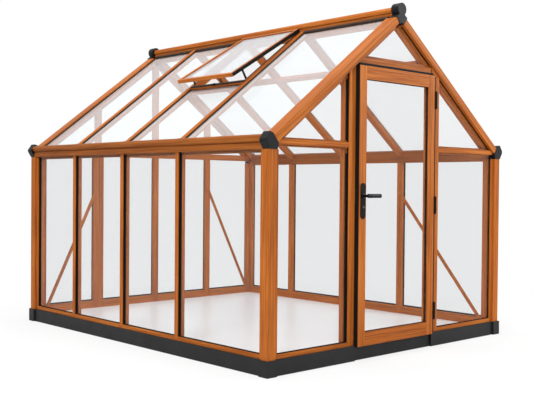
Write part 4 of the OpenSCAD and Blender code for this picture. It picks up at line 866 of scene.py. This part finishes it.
def floorMaterial():
    material, tree, output = startMaterial("studioFloor")
    plain = addNode(tree, "BsdfDiffuse")
    speck = noise(tree, objectPlace(tree), floorSet["specksPerMetre"], 2, 0.5)
    greys = [(tone, tone, tone) for tone in floorSet["tones"]]
    colour = colourRamp(tree, speck, list(zip(floorSet["tonePlaces"], greys)))
    plug(tree, colour, plain.inputs[0])
    glow = addNode(tree, "Emission")
    glow.inputs[1].default_value = 1.0
    reach = addNode(tree, "VectorMath", operation="LENGTH")
    plug(tree, objectPlace(tree), reach.inputs[0])
    far = remap(tree, reach.outputs["Value"], floorSet["fadeStart"], floorSet["fadeStop"],
                floorSet["glowNear"], floorSet["glowFar"])
    cameraRay = addNode(tree, "LightPath").outputs["Is Camera Ray"]
    share = calc(tree, "MULTIPLY", cameraRay, far)
    plug(tree, mixShaders(tree, share, plain.outputs[0], glow.outputs[0]), output.inputs[0])
    return material


bm = bmesh.new()
bmesh.ops.create_grid(bm, x_segments=8, y_segments=8, size=floorSet["halfSize"])
floorMesh = bpy.data.meshes.new("studioFloor")
bm.to_mesh(floorMesh)
bm.free()
floorMesh.materials.append(floorMaterial())
studioFloor = bpy.data.objects.new("studioFloor", floorMesh)
scene.collection.objects.link(studioFloor)
print("floor laid")

# World and lamps
lightSet = {
    "sky": 0.60,
    "seenSky": 1.0,  # as the camera, gloss and glass see it
    "aim": (0, 0, 1.0),
    "key": {"place": (-8.0, -5.0, 6.5), "power": 430, "size": 4.0},
    "fill": {"place": (3.6, -4.4, 2.8), "power": 88, "size": 2.5},
    "top": {"place": (-1.0, 0.0, 8.0), "power": 290, "size": 5.0},
}


def whiteBackground(tree, strength):
    node = addNode(tree, "Background")
    node.inputs[0].default_value = (1, 1, 1, 1)
    node.inputs[1].default_value = strength
    return node.outputs[0]


world = bpy.data.worlds.new("studioWorld")
scene.world = world
world.use_nodes = True
tree = world.node_tree
tree.nodes.clear()
rays = addNode(tree, "LightPath").outputs
seen = calc(tree, "MAXIMUM", rays["Is Camera Ray"], rays["Is Glossy Ray"])
seen = calc(tree, "MAXIMUM", seen, rays["Is Transmission Ray"])
dim = whiteBackground(tree, lightSet["sky"])
white = whiteBackground(tree, lightSet["seenSky"])
plug(tree, mixShaders(tree, seen, dim, white), addNode(tree, "OutputWorld").inputs[0])

for name in ("key", "fill", "top"):
    setting = lightSet[name]
    data = bpy.data.lights.new(name + "Lamp", "AREA")
    data.shape = "DISK"
    data.size = setting["size"]
    data.energy = setting["power"]
    lamp = bpy.data.objects.new(name + "Lamp", data)
    scene.collection.objects.link(lamp)
    lamp.location = setting["place"]
    aim = Vector(lightSet["aim"]) - lamp.location
    lamp.rotation_euler = aim.to_track_quat("-Z", "Y").to_euler()
scene.view_settings.view_transform = "Standard"
print("lights set")
